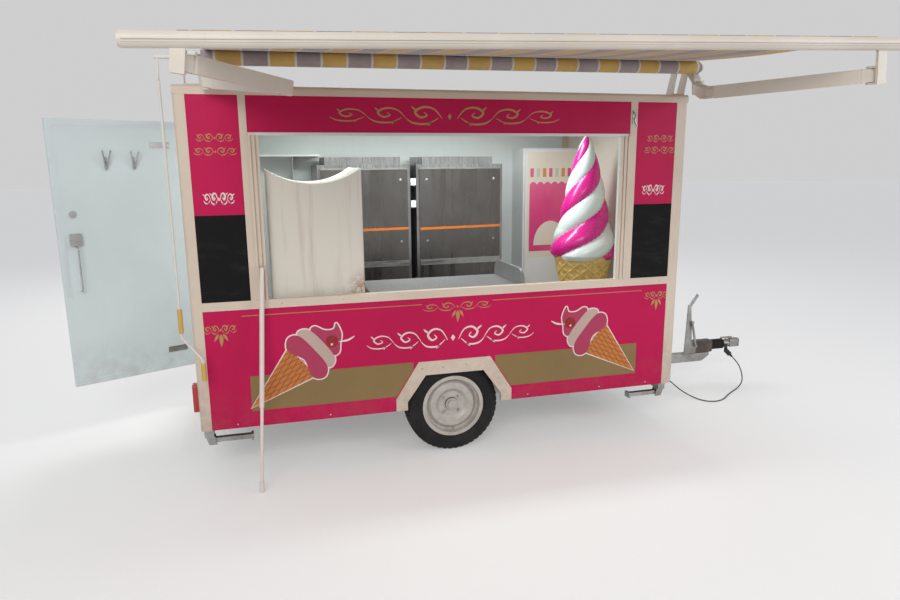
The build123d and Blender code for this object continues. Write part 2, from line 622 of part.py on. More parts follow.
# Road wheels: a tyre at each side, and its pressed steel rim with the brake drum that it is bolted to
MID_DEPTH = TYRE_WIDTH / 2
FLANGE_DEPTH = 9
BEAD_DEPTH = FLANGE_DEPTH + RIM_STEEL
BEAD_SEAT = 22
TREAD_HALF = 66
CARCASS = 12
MOUNT_RADIUS = 82
DISH_OUT = 17
DRUM_MOUTH = DISC_OFFSET + BUTT_GAP
for side_name, face_y, out in (("near", 0, -1), ("far", BODY_WIDTH, 1)):
    plane = wheel_plane(face_y, out)
    spin_axis = Axis(plane.origin, plane.x_dir)
    with BuildPart() as tyre:
        with BuildSketch(plane):
            with BuildLine():
                bead = Line((BEAD_DEPTH + BEAD_SEAT, BEAD_RADIUS), (BEAD_DEPTH, BEAD_RADIUS))
                heel = Line(bead @ 1, (BEAD_DEPTH, FLANGE_RADIUS))
                wall = ThreePointArc(heel @ 1, (0, TYRE_RADIUS - 50), (8, TYRE_RADIUS - 18))
                shoulder = ThreePointArc(wall @ 1, (13, TYRE_RADIUS - 7), (MID_DEPTH - TREAD_HALF, TYRE_RADIUS - 2))
                tread = ThreePointArc(
                    shoulder @ 1,
                    (MID_DEPTH, TYRE_RADIUS),
                    (MID_DEPTH + TREAD_HALF, TYRE_RADIUS - 2),
                )
                mirror(wall, about=Plane.YZ.offset(MID_DEPTH))
                mirror(shoulder, about=Plane.YZ.offset(MID_DEPTH))
                mirror(heel, about=Plane.YZ.offset(MID_DEPTH))
                mirror(bead, about=Plane.YZ.offset(MID_DEPTH))
                inner_foot = (BEAD_DEPTH + BEAD_SEAT, BEAD_RADIUS)
                lining = Polyline(
                    inner_foot,
                    (BEAD_DEPTH + CARCASS, FLANGE_RADIUS + 4),
                    (CARCASS, TYRE_RADIUS - 52),
                    (CARCASS + 10, TYRE_RADIUS - CARCASS - 8),
                    (MID_DEPTH - TREAD_HALF + 15, TYRE_RADIUS - CARCASS),
                    (MID_DEPTH + TREAD_HALF - 15, TYRE_RADIUS - CARCASS),
                    (TYRE_WIDTH - CARCASS - 10, TYRE_RADIUS - CARCASS - 8),
                    (TYRE_WIDTH - CARCASS, TYRE_RADIUS - 52),
                    (TYRE_WIDTH - BEAD_DEPTH - CARCASS, FLANGE_RADIUS + 4),
                    (TYRE_WIDTH - BEAD_DEPTH - BEAD_SEAT, BEAD_RADIUS),
                )
            make_face()
        revolve(axis=spin_axis)
    tyre.part.label = f"tyre_{side_name}"
    export_step(tyre.part, f"parts/tyre_{side_name}.step")

    with BuildPart() as rim:
        with BuildSketch(plane):
            with BuildLine():
                Polyline(
                    (FLANGE_DEPTH, FLANGE_RADIUS),
                    (FLANGE_DEPTH, BEAD_RADIUS - RIM_STEEL),
                    (TYRE_WIDTH - FLANGE_DEPTH, BEAD_RADIUS - RIM_STEEL),
                    (TYRE_WIDTH - FLANGE_DEPTH, FLANGE_RADIUS),
                    (TYRE_WIDTH - BEAD_DEPTH, FLANGE_RADIUS),
                    (TYRE_WIDTH - BEAD_DEPTH, BEAD_RADIUS),
                    (BEAD_DEPTH, BEAD_RADIUS),
                    (BEAD_DEPTH, FLANGE_RADIUS),
                    close=True,
                )
            make_face()
        revolve(axis=spin_axis)
        dish_face = DISC_OFFSET - RIM_STEEL
        dish = (
            (dish_face, RIM_BORE / 2),
            (dish_face, MOUNT_RADIUS),
            (dish_face - DISH_OUT, MOUNT_RADIUS + 22),
            (dish_face - DISH_OUT, BEAD_RADIUS - 40),
            (dish_face, BEAD_RADIUS - 20),
            (dish_face, BEAD_RADIUS - RIM_STEEL),
        )
        with BuildSketch(plane) as dish_section:
            with BuildLine():
                Polyline(*dish, *[(depth + RIM_STEEL, radius) for depth, radius in reversed(dish)], close=True)
            make_face()
            bends = dish_section.vertices().filter_by(
                lambda v: RIM_BORE / 2 + 1 < v.Y < BEAD_RADIUS - RIM_STEEL - 1
            )
            fillet(bends, RIM_STEEL)
        revolve(axis=spin_axis)
        with BuildSketch(Plane(plane.origin + plane.x_dir * DISC_OFFSET, z_dir=plane.x_dir)):
            with PolarLocations(BOLT_CIRCLE / 2, 4, start_angle=45):
                Circle(BOLT_HOLE / 2)
        extrude(amount=-2 * RIM_STEEL, mode=Mode.SUBTRACT)
        with BuildSketch(plane):
            with BuildLine():
                Polyline(
                    (DISC_OFFSET - 30, 0),
                    (DISC_OFFSET - 30, 27),
                    (DISC_OFFSET - 18, 31),
                    (DISC_OFFSET - 18, RIM_BORE / 2 - 2.5),
                    (DRUM_MOUTH, RIM_BORE / 2 - 2.5),
                    (DRUM_MOUTH, DRUM_RADIUS - 12),
                    (DISC_OFFSET + 12, DRUM_RADIUS),
                    (DISC_OFFSET + DRUM_DEPTH, DRUM_RADIUS),
                    (DISC_OFFSET + DRUM_DEPTH, STUB_RADIUS + BEARING_PLAY),
                    (DISC_OFFSET + 10, STUB_RADIUS + BEARING_PLAY),
                    (DISC_OFFSET + 10, 0),
                    close=True,
                )
            make_face()
        revolve(axis=spin_axis)
    rim.part.label = f"rim_{side_name}"
    export_step(rim.part, f"parts/rim_{side_name}.step")

# Overrun coupling: housing on the drawbar's end, shaft in its bellows, and the ball head
TUBE_LENGTH = HOUSING_END - HOUSING_START
SHAFT_RADIUS = 24
HOUSING_HALF = 44
with BuildPart() as overrun_housing:
    with BuildSketch(side_plane(DRAWBAR_Y - HOUSING_HALF)) as housing_outline:
        with BuildLine():
            Polyline(
                (HOUSING_START, DRAWBAR_TOP),
                (HOUSING_END - 20, DRAWBAR_TOP),
                (HOUSING_END, DRAWBAR_TOP + 10),
                (HOUSING_END, HOUSING_TOP),
                (HOUSING_START + 30, HOUSING_TOP),
                (HOUSING_START, HOUSING_TOP - 40),
                close=True,
            )
        make_face()
    extrude(amount=-2 * HOUSING_HALF)
    fillet(overrun_housing.edges().filter_by(Axis.X), 18)
    with BuildSketch(end_plane(HOUSING_END)):
        with Locations((DRAWBAR_Y, TOW_Z)):
            Circle(SHAFT_RADIUS)
    extrude(amount=-TUBE_LENGTH / 2, mode=Mode.SUBTRACT)
overrun_housing.part.label = "overrun_housing"
export_step(overrun_housing.part, "parts/overrun_housing.step")

FOLD_COUNT = 6
FOLD_OUT = 42
FOLD_IN = 34
BELLOWS_LENGTH = BELLOWS_END - HOUSING_END
tow_line = Axis((X0, Y0 + DRAWBAR_Y, TOW_Z), (1, 0, 0))
with BuildPart() as bellows:
    fold = BELLOWS_LENGTH / FOLD_COUNT
    with BuildSketch(Plane((X0, Y0 + DRAWBAR_Y, TOW_Z), x_dir=(1, 0, 0), z_dir=(0, -1, 0))):
        with BuildLine():
            crests = []
            for n in range(FOLD_COUNT):
                start = HOUSING_END + n * fold
                crests += [(start, FOLD_IN), (start + fold * 0.35, FOLD_OUT), (start + fold * 0.65, FOLD_OUT)]
            Polyline(
                *crests,
                (BELLOWS_END, FOLD_IN),
                (BELLOWS_END, SHAFT_RADIUS + 1),
                (HOUSING_END, SHAFT_RADIUS + 1),
                close=True,
            )
        make_face()
    revolve(axis=tow_line)
bellows.part.label = "bellows"
export_step(bellows.part, "parts/bellows.step")

# Coupling: shaft, clamp collar, ball head with its blind socket below, and the hand lever over it
HEAD_BOTTOM = TOW_Z - 26
HEAD_HALF = 36
HEAD_TOP = TOW_Z + 38
SOCKET_DEPTH = 28
COLLAR_LONG = 56
with BuildPart() as coupling_head:
    with BuildSketch(level(HEAD_BOTTOM)):
        with Locations((COUPLING_TIP - HEAD_HALF, DRAWBAR_Y)):
            Circle(HEAD_HALF)
        with Locations((COUPLING_TIP - 2 * HEAD_HALF, DRAWBAR_Y)):
            Rectangle(2 * HEAD_HALF, 2 * HEAD_HALF)
    extrude(amount=HEAD_TOP - HEAD_BOTTOM)
    fillet(coupling_head.edges().group_by(Axis.Z)[-1], 16)
    with BuildSketch(end_plane(HOUSING_END - TUBE_LENGTH / 2)):
        with Locations((DRAWBAR_Y, TOW_Z)):
            Circle(SHAFT_RADIUS)
    extrude(amount=TUBE_LENGTH / 2 + BELLOWS_LENGTH + 20)
    with BuildSketch(end_plane(BELLOWS_END)):
        with Locations((DRAWBAR_Y, TOW_Z)):
            Circle(SHAFT_RADIUS + 8)
    extrude(amount=COLLAR_LONG)
    with BuildSketch(level(HEAD_BOTTOM)):
        with Locations((BALL_X, DRAWBAR_Y)):
            Circle(BALL_RADIUS)
    extrude(amount=SOCKET_DEPTH, mode=Mode.SUBTRACT)
    with BuildSketch(side_plane(DRAWBAR_Y - 8)):
        with BuildLine():
            FilletPolyline(
                (BALL_X + 6, HEAD_TOP - 6),
                (BALL_X + 6, HEAD_TOP + 16),
                (BELLOWS_END - 16, HEAD_TOP + 16),
                (BELLOWS_END - 16, HEAD_TOP + 6),
                (BALL_X - 14, HEAD_TOP + 6),
                (BALL_X - 14, HEAD_TOP - 6),
                radius=3,
                close=True,
            )
        make_face()
    extrude(amount=-16)
coupling_head.part.label = "coupling_head"
export_step(coupling_head.part, "parts/coupling_head.step")

# Parking brake: lever with its raked grip, toothed sector and gas strut beside the housing
LEVER_THICK = 12
LEVER_Y = DRAWBAR_Y - HOUSING_HALF - LEVER_THICK
LEVER_FOOT = DRAWBAR_TOP + 10
GRIP_BEND = 640
GRIP_END = 716
STRUT_RADIUS = 9
STRUT_OFF = 13
STRUT_FOOT = (BRAKE_PIVOT_X + 62, 300)
STRUT_HEAD = (BRAKE_PIVOT_X + 18, 500)
with BuildPart() as parking_brake:
    with BuildSketch(side_plane(LEVER_Y)) as lever_outline:
        with BuildLine():
            Polyline(
                (BRAKE_PIVOT_X - 30, LEVER_FOOT),
                (BRAKE_PIVOT_X + 70, LEVER_FOOT),
                (BRAKE_PIVOT_X + 82, LEVER_FOOT + 70),
                (BRAKE_PIVOT_X + 34, LEVER_FOOT + 90),
                (BRAKE_PIVOT_X + 10, GRIP_BEND - 15),
                (BRAKE_PIVOT_X + 74, GRIP_END),
                (BRAKE_PIVOT_X + 54, GRIP_END + 16),
                (BRAKE_PIVOT_X - 16, GRIP_BEND),
                close=True,
            )
        make_face()
        fillet(lever_outline.vertices(), 6)
    extrude(amount=-LEVER_THICK)
    strut_y = Y0 + LEVER_Y - STRUT_OFF
    foot = Vector(X0 + STRUT_FOOT[0], strut_y, STRUT_FOOT[1])
    head = Vector(X0 + STRUT_HEAD[0], strut_y, STRUT_HEAD[1])
    with BuildSketch(Plane(foot, z_dir=head - foot)):
        Circle(STRUT_RADIUS)
    extrude(amount=(head - foot).length)
    for place in (STRUT_FOOT, STRUT_HEAD):
        with BuildSketch(side_plane(LEVER_Y + 1)):
            with Locations(place):
                Circle(STRUT_RADIUS + 2)
        extrude(amount=1 + STRUT_OFF + STRUT_RADIUS + 2)
parking_brake.part.label = "parking_brake"
export_step(parking_brake.part, "parts/parking_brake.step")

# Jockey wheel: clamp on the drawbar with the outer tube and winding handle, then leg, fork and wheel
JOCKEY_Y = DRAWBAR_Y + JOCKEY_OUT
JOCKEY_TOP = 640
TUBE_BOTTOM = 240
COLLAR_BOTTOM = 245
COLLAR_TALL = 50
CLAMP_PLATE = 8
FORK_TOP = 2 * JOCKEY_RADIUS + 16
FORK_PLATE = 8
LEG_TOP = 560
SLIDE_PLAY = 0.08
SEAT_GAP = 0.3
PIVOT_RADIUS = 10
FORK_SIDE = 5
WHEEL_GAP = 5
HANDLE_ROD = 6
jockey_centre = (JOCKEY_X, JOCKEY_Y)
with BuildPart() as jockey_clamp:
    with BuildSketch(level(COLLAR_BOTTOM)):
        with Locations(jockey_centre):
            Circle(JOCKEY_TUBE / 2 + 9)
        with Locations((JOCKEY_X, (DRAWBAR_Y + DRAWBAR_HALF + JOCKEY_Y) / 2)):
            Rectangle(46, JOCKEY_Y - DRAWBAR_Y - DRAWBAR_HALF)
    extrude(amount=COLLAR_TALL)
    slab(
        JOCKEY_X - 45,
        JOCKEY_X + 45,
        DRAWBAR_Y + DRAWBAR_HALF,
        DRAWBAR_Y + DRAWBAR_HALF + CLAMP_PLATE,
        DRAWBAR_BOTTOM + 10,
        COLLAR_BOTTOM + COLLAR_TALL,
    )
    with BuildSketch(level(TUBE_BOTTOM)):
        with Locations(jockey_centre):
            Circle(JOCKEY_TUBE / 2)
    extrude(amount=JOCKEY_TOP - TUBE_BOTTOM)
    fillet(jockey_clamp.faces().sort_by(Axis.Z)[-1].edges(), 8)
    with BuildSketch(level(TUBE_BOTTOM)):
        with Locations(jockey_centre):
            Circle(JOCKEY_LEG / 2 + SLIDE_PLAY)
    extrude(amount=LEG_TOP + 70 - TUBE_BOTTOM, mode=Mode.SUBTRACT)
    with BuildLine(Plane((X0, Y0 + JOCKEY_Y, 0), x_dir=(1, 0, 0), z_dir=(0, -1, 0))) as handle_path:
        FilletPolyline(
            (JOCKEY_X, JOCKEY_TOP),
            (JOCKEY_X, JOCKEY_TOP + 40),
            (JOCKEY_X - 120, JOCKEY_TOP + 40),
            (JOCKEY_X - 120, JOCKEY_TOP + 120),
            radius=16,
        )
    with BuildSketch(Plane((X0 + JOCKEY_X, Y0 + JOCKEY_Y, JOCKEY_TOP))):
        Circle(HANDLE_ROD)
    sweep(path=handle_path.wires()[0])
    with BuildSketch(Plane((X0 + JOCKEY_X - 120, Y0 + JOCKEY_Y, JOCKEY_TOP + 70))):
        Circle(HANDLE_ROD + 8)
    extrude(amount=75)
jockey_clamp.part.label = "jockey_clamp"
export_step(jockey_clamp.part, "parts/jockey_clamp.step")

with BuildPart() as jockey_leg:
    with BuildSketch(level(FORK_TOP + SEAT_GAP)):
        with Locations(jockey_centre):
            Circle(JOCKEY_LEG / 2)
    extrude(amount=LEG_TOP - FORK_TOP)
    with BuildSketch(level(FORK_TOP + SEAT_GAP)):
        with Locations(jockey_centre):
            Circle(PIVOT_RADIUS + SLIDE_PLAY)
    extrude(amount=60, mode=Mode.SUBTRACT)
jockey_leg.part.label = "jockey_leg"
export_step(jockey_leg.part, "parts/jockey_leg.step")

JOCKEY_AXLE_X = JOCKEY_X - JOCKEY_TRAIL
FORK_HALF = JOCKEY_WIDTH / 2 + WHEEL_GAP
with BuildPart() as jockey_fork:
    with BuildSketch(level(FORK_TOP - FORK_PLATE)):
        with Locations(jockey_centre):
            Circle(FORK_HALF + FORK_SIDE)
        with Locations((JOCKEY_X - JOCKEY_TRAIL / 2, JOCKEY_Y)):
            Rectangle(JOCKEY_TRAIL + 24, 2 * (FORK_HALF + FORK_SIDE))
    extrude(amount=FORK_PLATE)
    with BuildSketch(level(FORK_TOP)):
        with Locations(jockey_centre):
            Circle(PIVOT_RADIUS)
    extrude(amount=55)
    for y in (JOCKEY_Y - FORK_HALF - FORK_SIDE, JOCKEY_Y + FORK_HALF):
        with BuildSketch(side_plane(y)):
            make_hull(
                [
                    *Edge.make_circle(14, Plane((JOCKEY_AXLE_X, JOCKEY_RADIUS))).edges(),
                    Edge.make_line(
                        (JOCKEY_AXLE_X - 12, FORK_TOP - 2),
                        (JOCKEY_X + 14, FORK_TOP - 2),
                    ),
                ]
            )
        extrude(amount=-FORK_SIDE)
    with BuildSketch(side_plane(JOCKEY_Y - FORK_HALF - FORK_SIDE - 4)):
        with Locations((JOCKEY_AXLE_X, JOCKEY_RADIUS)):
            Circle(6)
    extrude(amount=-2 * (FORK_HALF + FORK_SIDE + 4))
jockey_fork.part.label = "jockey_fork"
export_step(jockey_fork.part, "parts/jockey_fork.step")

with BuildPart() as jockey_wheel:
    with BuildSketch(side_plane(JOCKEY_Y - JOCKEY_WIDTH / 2)):
        with Locations((JOCKEY_AXLE_X, JOCKEY_RADIUS)):
            Circle(JOCKEY_RADIUS)
    extrude(amount=-JOCKEY_WIDTH)
    fillet(jockey_wheel.edges(), 9)
    for y, way in ((JOCKEY_Y - JOCKEY_WIDTH / 2, -1), (JOCKEY_Y + JOCKEY_WIDTH / 2, 1)):
        with BuildSketch(side_plane(y)):
            with Locations((JOCKEY_AXLE_X, JOCKEY_RADIUS)):
                Circle(JOCKEY_RADIUS - 24)
                Circle(18, mode=Mode.SUBTRACT)
        extrude(amount=way * 14, mode=Mode.SUBTRACT)
    with BuildSketch(side_plane(JOCKEY_Y - JOCKEY_WIDTH / 2)):
        with Locations((JOCKEY_AXLE_X, JOCKEY_RADIUS)):
            Circle(6 + SLIDE_PLAY)
    extrude(amount=-JOCKEY_WIDTH, mode=Mode.SUBTRACT)
jockey_wheel.part.label = "jockey_wheel"
export_step(jockey_wheel.part, "parts/jockey_wheel.step")

# Corner steadies: legs folded up under the body
FOOT_LONG = 12
for end_name, pivot_x, way in STEADY_ENDS:
    for side_name, centre_y in (("near", STEADY_Y), ("far", BODY_WIDTH - STEADY_Y)):
        leg_end = pivot_x + way * (STEADY_Z - FOOT_LONG - 2)
        with BuildPart() as steady:
            with BuildSketch(side_plane(centre_y - STEADY_HALF)):
                with Locations(((pivot_x + leg_end) / 2, STEADY_Z)):
                    Rectangle(abs(leg_end - pivot_x), 26)
                with Locations((pivot_x, STEADY_Z)):
                    Circle(13)
                    Circle(STEADY_PIN + SLIDE_PLAY, mode=Mode.SUBTRACT)
            extrude(amount=-STEADY_WIDTH)
            with BuildSketch(end_plane(leg_end)):
                with Locations((centre_y, STEADY_Z)):
                    RectangleRounded(60, 38, 8)
            extrude(amount=way * FOOT_LONG)
        steady.part.label = f"steady_{end_name}_{side_name}"
        export_step(steady.part, f"parts/steady_{end_name}_{side_name}.step")

# Rear lamps: rounded clusters on the rear posts
LAMP_BOTTOM = 420
LAMP_TALL = 160
LAMP_WIDE = 62
LAMP_DEEP = 30
with BuildPart() as rear_lamps:
    for face_y, out in SIDES:
        with BuildSketch(end_plane(0)):
            with Locations((face_y - out * (LAMP_WIDE / 2 + 22), LAMP_BOTTOM + LAMP_TALL / 2)):
                RectangleRounded(LAMP_WIDE, LAMP_TALL, 10)
        extrude(amount=-LAMP_DEEP)
    fillet(rear_lamps.edges().group_by(Axis.X)[0], 6)
rear_lamps.part.label = "rear_lamps"
export_step(rear_lamps.part, "parts/rear_lamps.step")

# Rear door, laid out from its pin: x runs to the free edge, y is towards the inner face
door_plane = Plane(
    (X0 + DOOR_PIN_X, Y0 + DOOR_PIN_Y, 0),
    x_dir=(-sin(DOOR_TURN), -cos(DOOR_TURN), 0),
    z_dir=(0, 0, 1),
)
DOOR_END = LEAF_START + DOOR_WIDTH
door_face = Plane(door_plane.origin, x_dir=door_plane.x_dir, z_dir=-door_plane.y_dir)
with BuildPart() as door_leaf:
    with BuildSketch(door_face.offset(-DOOR_THICK / 2)):
        with Locations(((LEAF_START + DOOR_END) / 2, (DOOR_BOTTOM + DOOR_TOP) / 2)):
            Rectangle(DOOR_WIDTH, DOOR_TOP - DOOR_BOTTOM)
    extrude(amount=DOOR_THICK)
    for side, grow in ((-DOOR_THICK / 2, -RIM_PROUD), (DOOR_THICK / 2, RIM_PROUD)):
        with BuildSketch(door_face.offset(side)):
            with Locations(((LEAF_START + DOOR_END) / 2, (DOOR_BOTTOM + DOOR_TOP) / 2)):
                Rectangle(DOOR_WIDTH, DOOR_TOP - DOOR_BOTTOM)
                Rectangle(
                    DOOR_WIDTH - 2 * DOOR_RIM,
                    DOOR_TOP - DOOR_BOTTOM - 2 * DOOR_RIM,
                    mode=Mode.SUBTRACT,
                )
        extrude(amount=grow)
door_leaf.part.label = "door_leaf"
export_step(door_leaf.part, "parts/door_leaf.step")


def door_block(x1, x2, y1, y2, z1, z2, mode=Mode.ADD):
    """A block on the door: from its pin, through its thickness, up from the ground."""
    centre = door_plane.from_local_coords(Vector((x1 + x2) / 2, (y1 + y2) / 2, (z1 + z2) / 2))
    with Locations(Plane(centre, x_dir=door_plane.x_dir, z_dir=(0, 0, 1))):
        Box(x2 - x1, y2 - y1, z2 - z1, mode=mode)


# Door hinges: a strap and barrel on the leaf, and a plate, two knuckles and the pin on the wall
LEAF_OUTER = -(DOOR_THICK / 2 + RIM_PROUD)
STRAP = 5
STRAP_LONG = 260
STRAP_TALL = 36
BARREL_RADIUS = 10
BARREL_TALL = 40
KNUCKLE_TALL = 22
KNUCKLE_GAP = 0.5
pin_point = (DOOR_PIN_X, DOOR_PIN_Y)
with BuildPart() as door_hinges:
    for z in HINGE_HEIGHTS:
        door_block(0, STRAP_LONG, LEAF_OUTER - STRAP, LEAF_OUTER, z - STRAP_TALL / 2, z + STRAP_TALL / 2)
        with BuildSketch(level(z - BARREL_TALL / 2)):
            with Locations(pin_point):
                Circle(BARREL_RADIUS)
        extrude(amount=BARREL_TALL)
        door_block(-4, 8, LEAF_OUTER - STRAP, 0, z - BARREL_TALL / 2, z + BARREL_TALL / 2)
        with BuildSketch(level(z - BARREL_TALL / 2)):
            with Locations(pin_point):
                Circle(HINGE_PIN + PIN_PLAY)
        extrude(amount=BARREL_TALL, mode=Mode.SUBTRACT)
door_hinges.part.label = "door_hinges"
export_step(door_hinges.part, "parts/door_hinges.step")

HINGE_PLATE_LONG = 70
with BuildPart() as hinge_plates:
    for z in HINGE_HEIGHTS:
        low = z - BARREL_TALL / 2 - KNUCKLE_GAP - KNUCKLE_TALL
        high = z + BARREL_TALL / 2 + KNUCKLE_GAP + KNUCKLE_TALL
        slab(SHEET_INSET - STRAP, SHEET_INSET, DOOR_PIN_Y + 20, DOOR_PIN_Y + HINGE_PLATE_LONG, low, high)
        for z1 in (low, high - KNUCKLE_TALL):
            with BuildSketch(level(z1)):
                with Locations(pin_point):
                    Circle(BARREL_RADIUS)
                with BuildLine():
                    Polyline(
                        (DOOR_PIN_X, DOOR_PIN_Y - 4),
                        (SHEET_INSET, DOOR_PIN_Y + 20),
                        (SHEET_INSET, DOOR_PIN_Y + 32),
                        (DOOR_PIN_X, DOOR_PIN_Y + 9),
                        close=True,
                    )
                make_face()
            extrude(amount=KNUCKLE_TALL)
        with BuildSketch(level(low)):
            with Locations(pin_point):
                Circle(HINGE_PIN)
        extrude(amount=high - low)
hinge_plates.part.label = "hinge_plates"
export_step(hinge_plates.part, "parts/hinge_plates.step")

# Door fittings on the inner face: rim lock, cylinder, two coat hooks, two backing plates and a long pull rod
INNER_SKIN = DOOR_THICK / 2
LOCK_FROM_EDGE = 96
LOCK_Z = 1320
LOCK_WIDE = 70
LOCK_TALL = 78
LOCK_DEEP = 20
CYLINDER_Z = 1480
CYLINDER_RADIUS = 21
PULL_ROD = 5
PULL_OUT = 42
PULL_TOP = 1275
PULL_BOTTOM = 990
HOOKS_FROM_EDGE = (320, 490)
HOOK_LOW = 1740
HOOK_HIGH = 1868
HOOK_ROD = 5
PLATES_FROM_EDGE = 665
with BuildPart() as door_fittings:
    lock_x = DOOR_END - LOCK_FROM_EDGE
    with BuildSketch(door_face.offset(-INNER_SKIN)):
        with Locations((lock_x, LOCK_Z)):
            RectangleRounded(LOCK_WIDE, LOCK_TALL, 8)
    extrude(amount=-LOCK_DEEP)
    with BuildSketch(door_face.offset(-INNER_SKIN)):
        with Locations((lock_x, CYLINDER_Z)):
            Circle(CYLINDER_RADIUS)
    extrude(amount=-10)
    for plate_z in HINGE_HEIGHTS:
        with BuildSketch(door_face.offset(-INNER_SKIN)):
            with Locations((DOOR_END - PLATES_FROM_EDGE, plate_z)):
                RectangleRounded(130, 40, 5)
        extrude(amount=-3)
    for from_edge in HOOKS_FROM_EDGE:
        hook_x = DOOR_END - from_edge
        with BuildSketch(door_face.offset(-INNER_SKIN)):
            with Locations((hook_x, (HOOK_LOW + HOOK_HIGH) / 2 - 8)):
                RectangleRounded(18, 76, 8)
        extrude(amount=-5)
        for lean in (-1, 1):
            start = door_face.from_local_coords(Vector(hook_x, HOOK_LOW + 12, -INNER_SKIN - 5))
            end = door_face.from_local_coords(Vector(hook_x + lean * 24, HOOK_HIGH, -INNER_SKIN - 46))
            with BuildSketch(Plane(start, z_dir=end - start)):
                Circle(HOOK_ROD)
            extrude(amount=(end - start).length)
            with Locations(end):
                Sphere(HOOK_ROD + 3)
        door_block(hook_x - 30, hook_x + 30, 0, INNER_SKIN, HOOK_LOW - 40, HOOK_HIGH, mode=Mode.SUBTRACT)
    pull_plane = Plane(
        door_plane.origin + door_plane.x_dir * (DOOR_END - LOCK_FROM_EDGE),
        x_dir=door_plane.y_dir,
        z_dir=door_plane.x_dir,
    )
    with BuildLine(pull_plane) as pull_path:
        FilletPolyline(
            (INNER_SKIN, PULL_TOP),
            (INNER_SKIN + PULL_OUT, PULL_TOP),
            (INNER_SKIN + PULL_OUT, PULL_BOTTOM),
            (INNER_SKIN, PULL_BOTTOM),
            radius=22,
        )
    with BuildSketch(Plane(pull_path.wires()[0] @ 0, z_dir=pull_path.wires()[0] % 0)):
        Circle(PULL_ROD)
    sweep(path=pull_path.wires()[0])
door_fittings.part.label = "door_fittings"
export_step(door_fittings.part, "parts/door_fittings.step")

# Awning plane: x along the roll, y back towards the body, z up from the cloth
TILT = radians(AWNING_TILT)
PITCH = radians(AWNING_PITCH)
awning = Plane(
    (X0 + AWNING_MID, Y0 - AWNING_OUT, AWNING_Z),
    x_dir=(cos(TILT), 0, sin(TILT)),
    z_dir=(-sin(TILT) * cos(PITCH), -sin(PITCH), cos(TILT) * cos(PITCH)),
)


def across_roll(u):
    """Sketch plane across the roll at a station: x is back towards the body, y is up."""
    return Plane(awning.from_local_coords(Vector(u, 0, 0)), x_dir=awning.y_dir, z_dir=awning.x_dir)


def arm_frame(pivot_u, way):
    """Plane of one folding arm at its shoulder: x along the roll and down towards the elbow, y back."""
    dip = atan2(SHOULDER_DROP - HAND_DROP, HAND_OUT - SHOULDER_OUT)
    cant = radians(ARM_CANT) * way
    upright = awning.y_dir * sin(dip) + awning.z_dir * cos(dip)
    along = awning.x_dir * cos(cant) - upright * sin(cant)
    normal = upright * cos(cant) + awning.x_dir * sin(cant)
    origin = awning.from_local_coords(Vector(pivot_u, -SHOULDER_OUT, -SHOULDER_DROP))
    return Plane(origin, x_dir=along, z_dir=normal)


# columns: name, station of both pivots along the roll, way the elbow points
ARM_PLACES = (("rear", -SHOULDER_REAR, 1), ("front", SHOULDER_FRONT, -1))
ARM_PLANES = {name: arm_frame(pivot_u, way) for name, pivot_u, way in ARM_PLACES}
ARM_TOP = ARM_HEIGHT / 2
ARM_BOTTOM = -ARM_HEIGHT / 2
EAR = 8
EAR_GAP = 2
EAR_RADIUS = 25
EAR_WIDE = 46
WEB_BACK = 34
WEB_THICK = 14

# Roll: the wound cloth between its two end spindles
SPINDLE_RADIUS = 14
SPINDLE_LONG = 24
with BuildPart() as awning_roll:
    with BuildSketch(across_roll(-ROLL_HALF)):
        Circle(ROLL_RADIUS)
    extrude(amount=2 * ROLL_HALF)
    with BuildSketch(across_roll(-ROLL_HALF - SPINDLE_LONG)):
        Circle(SPINDLE_RADIUS)
    extrude(amount=2 * ROLL_HALF + 2 * SPINDLE_LONG)
awning_roll.part.label = "awning_roll"
export_step(awning_roll.part, "parts/awning_roll.step")

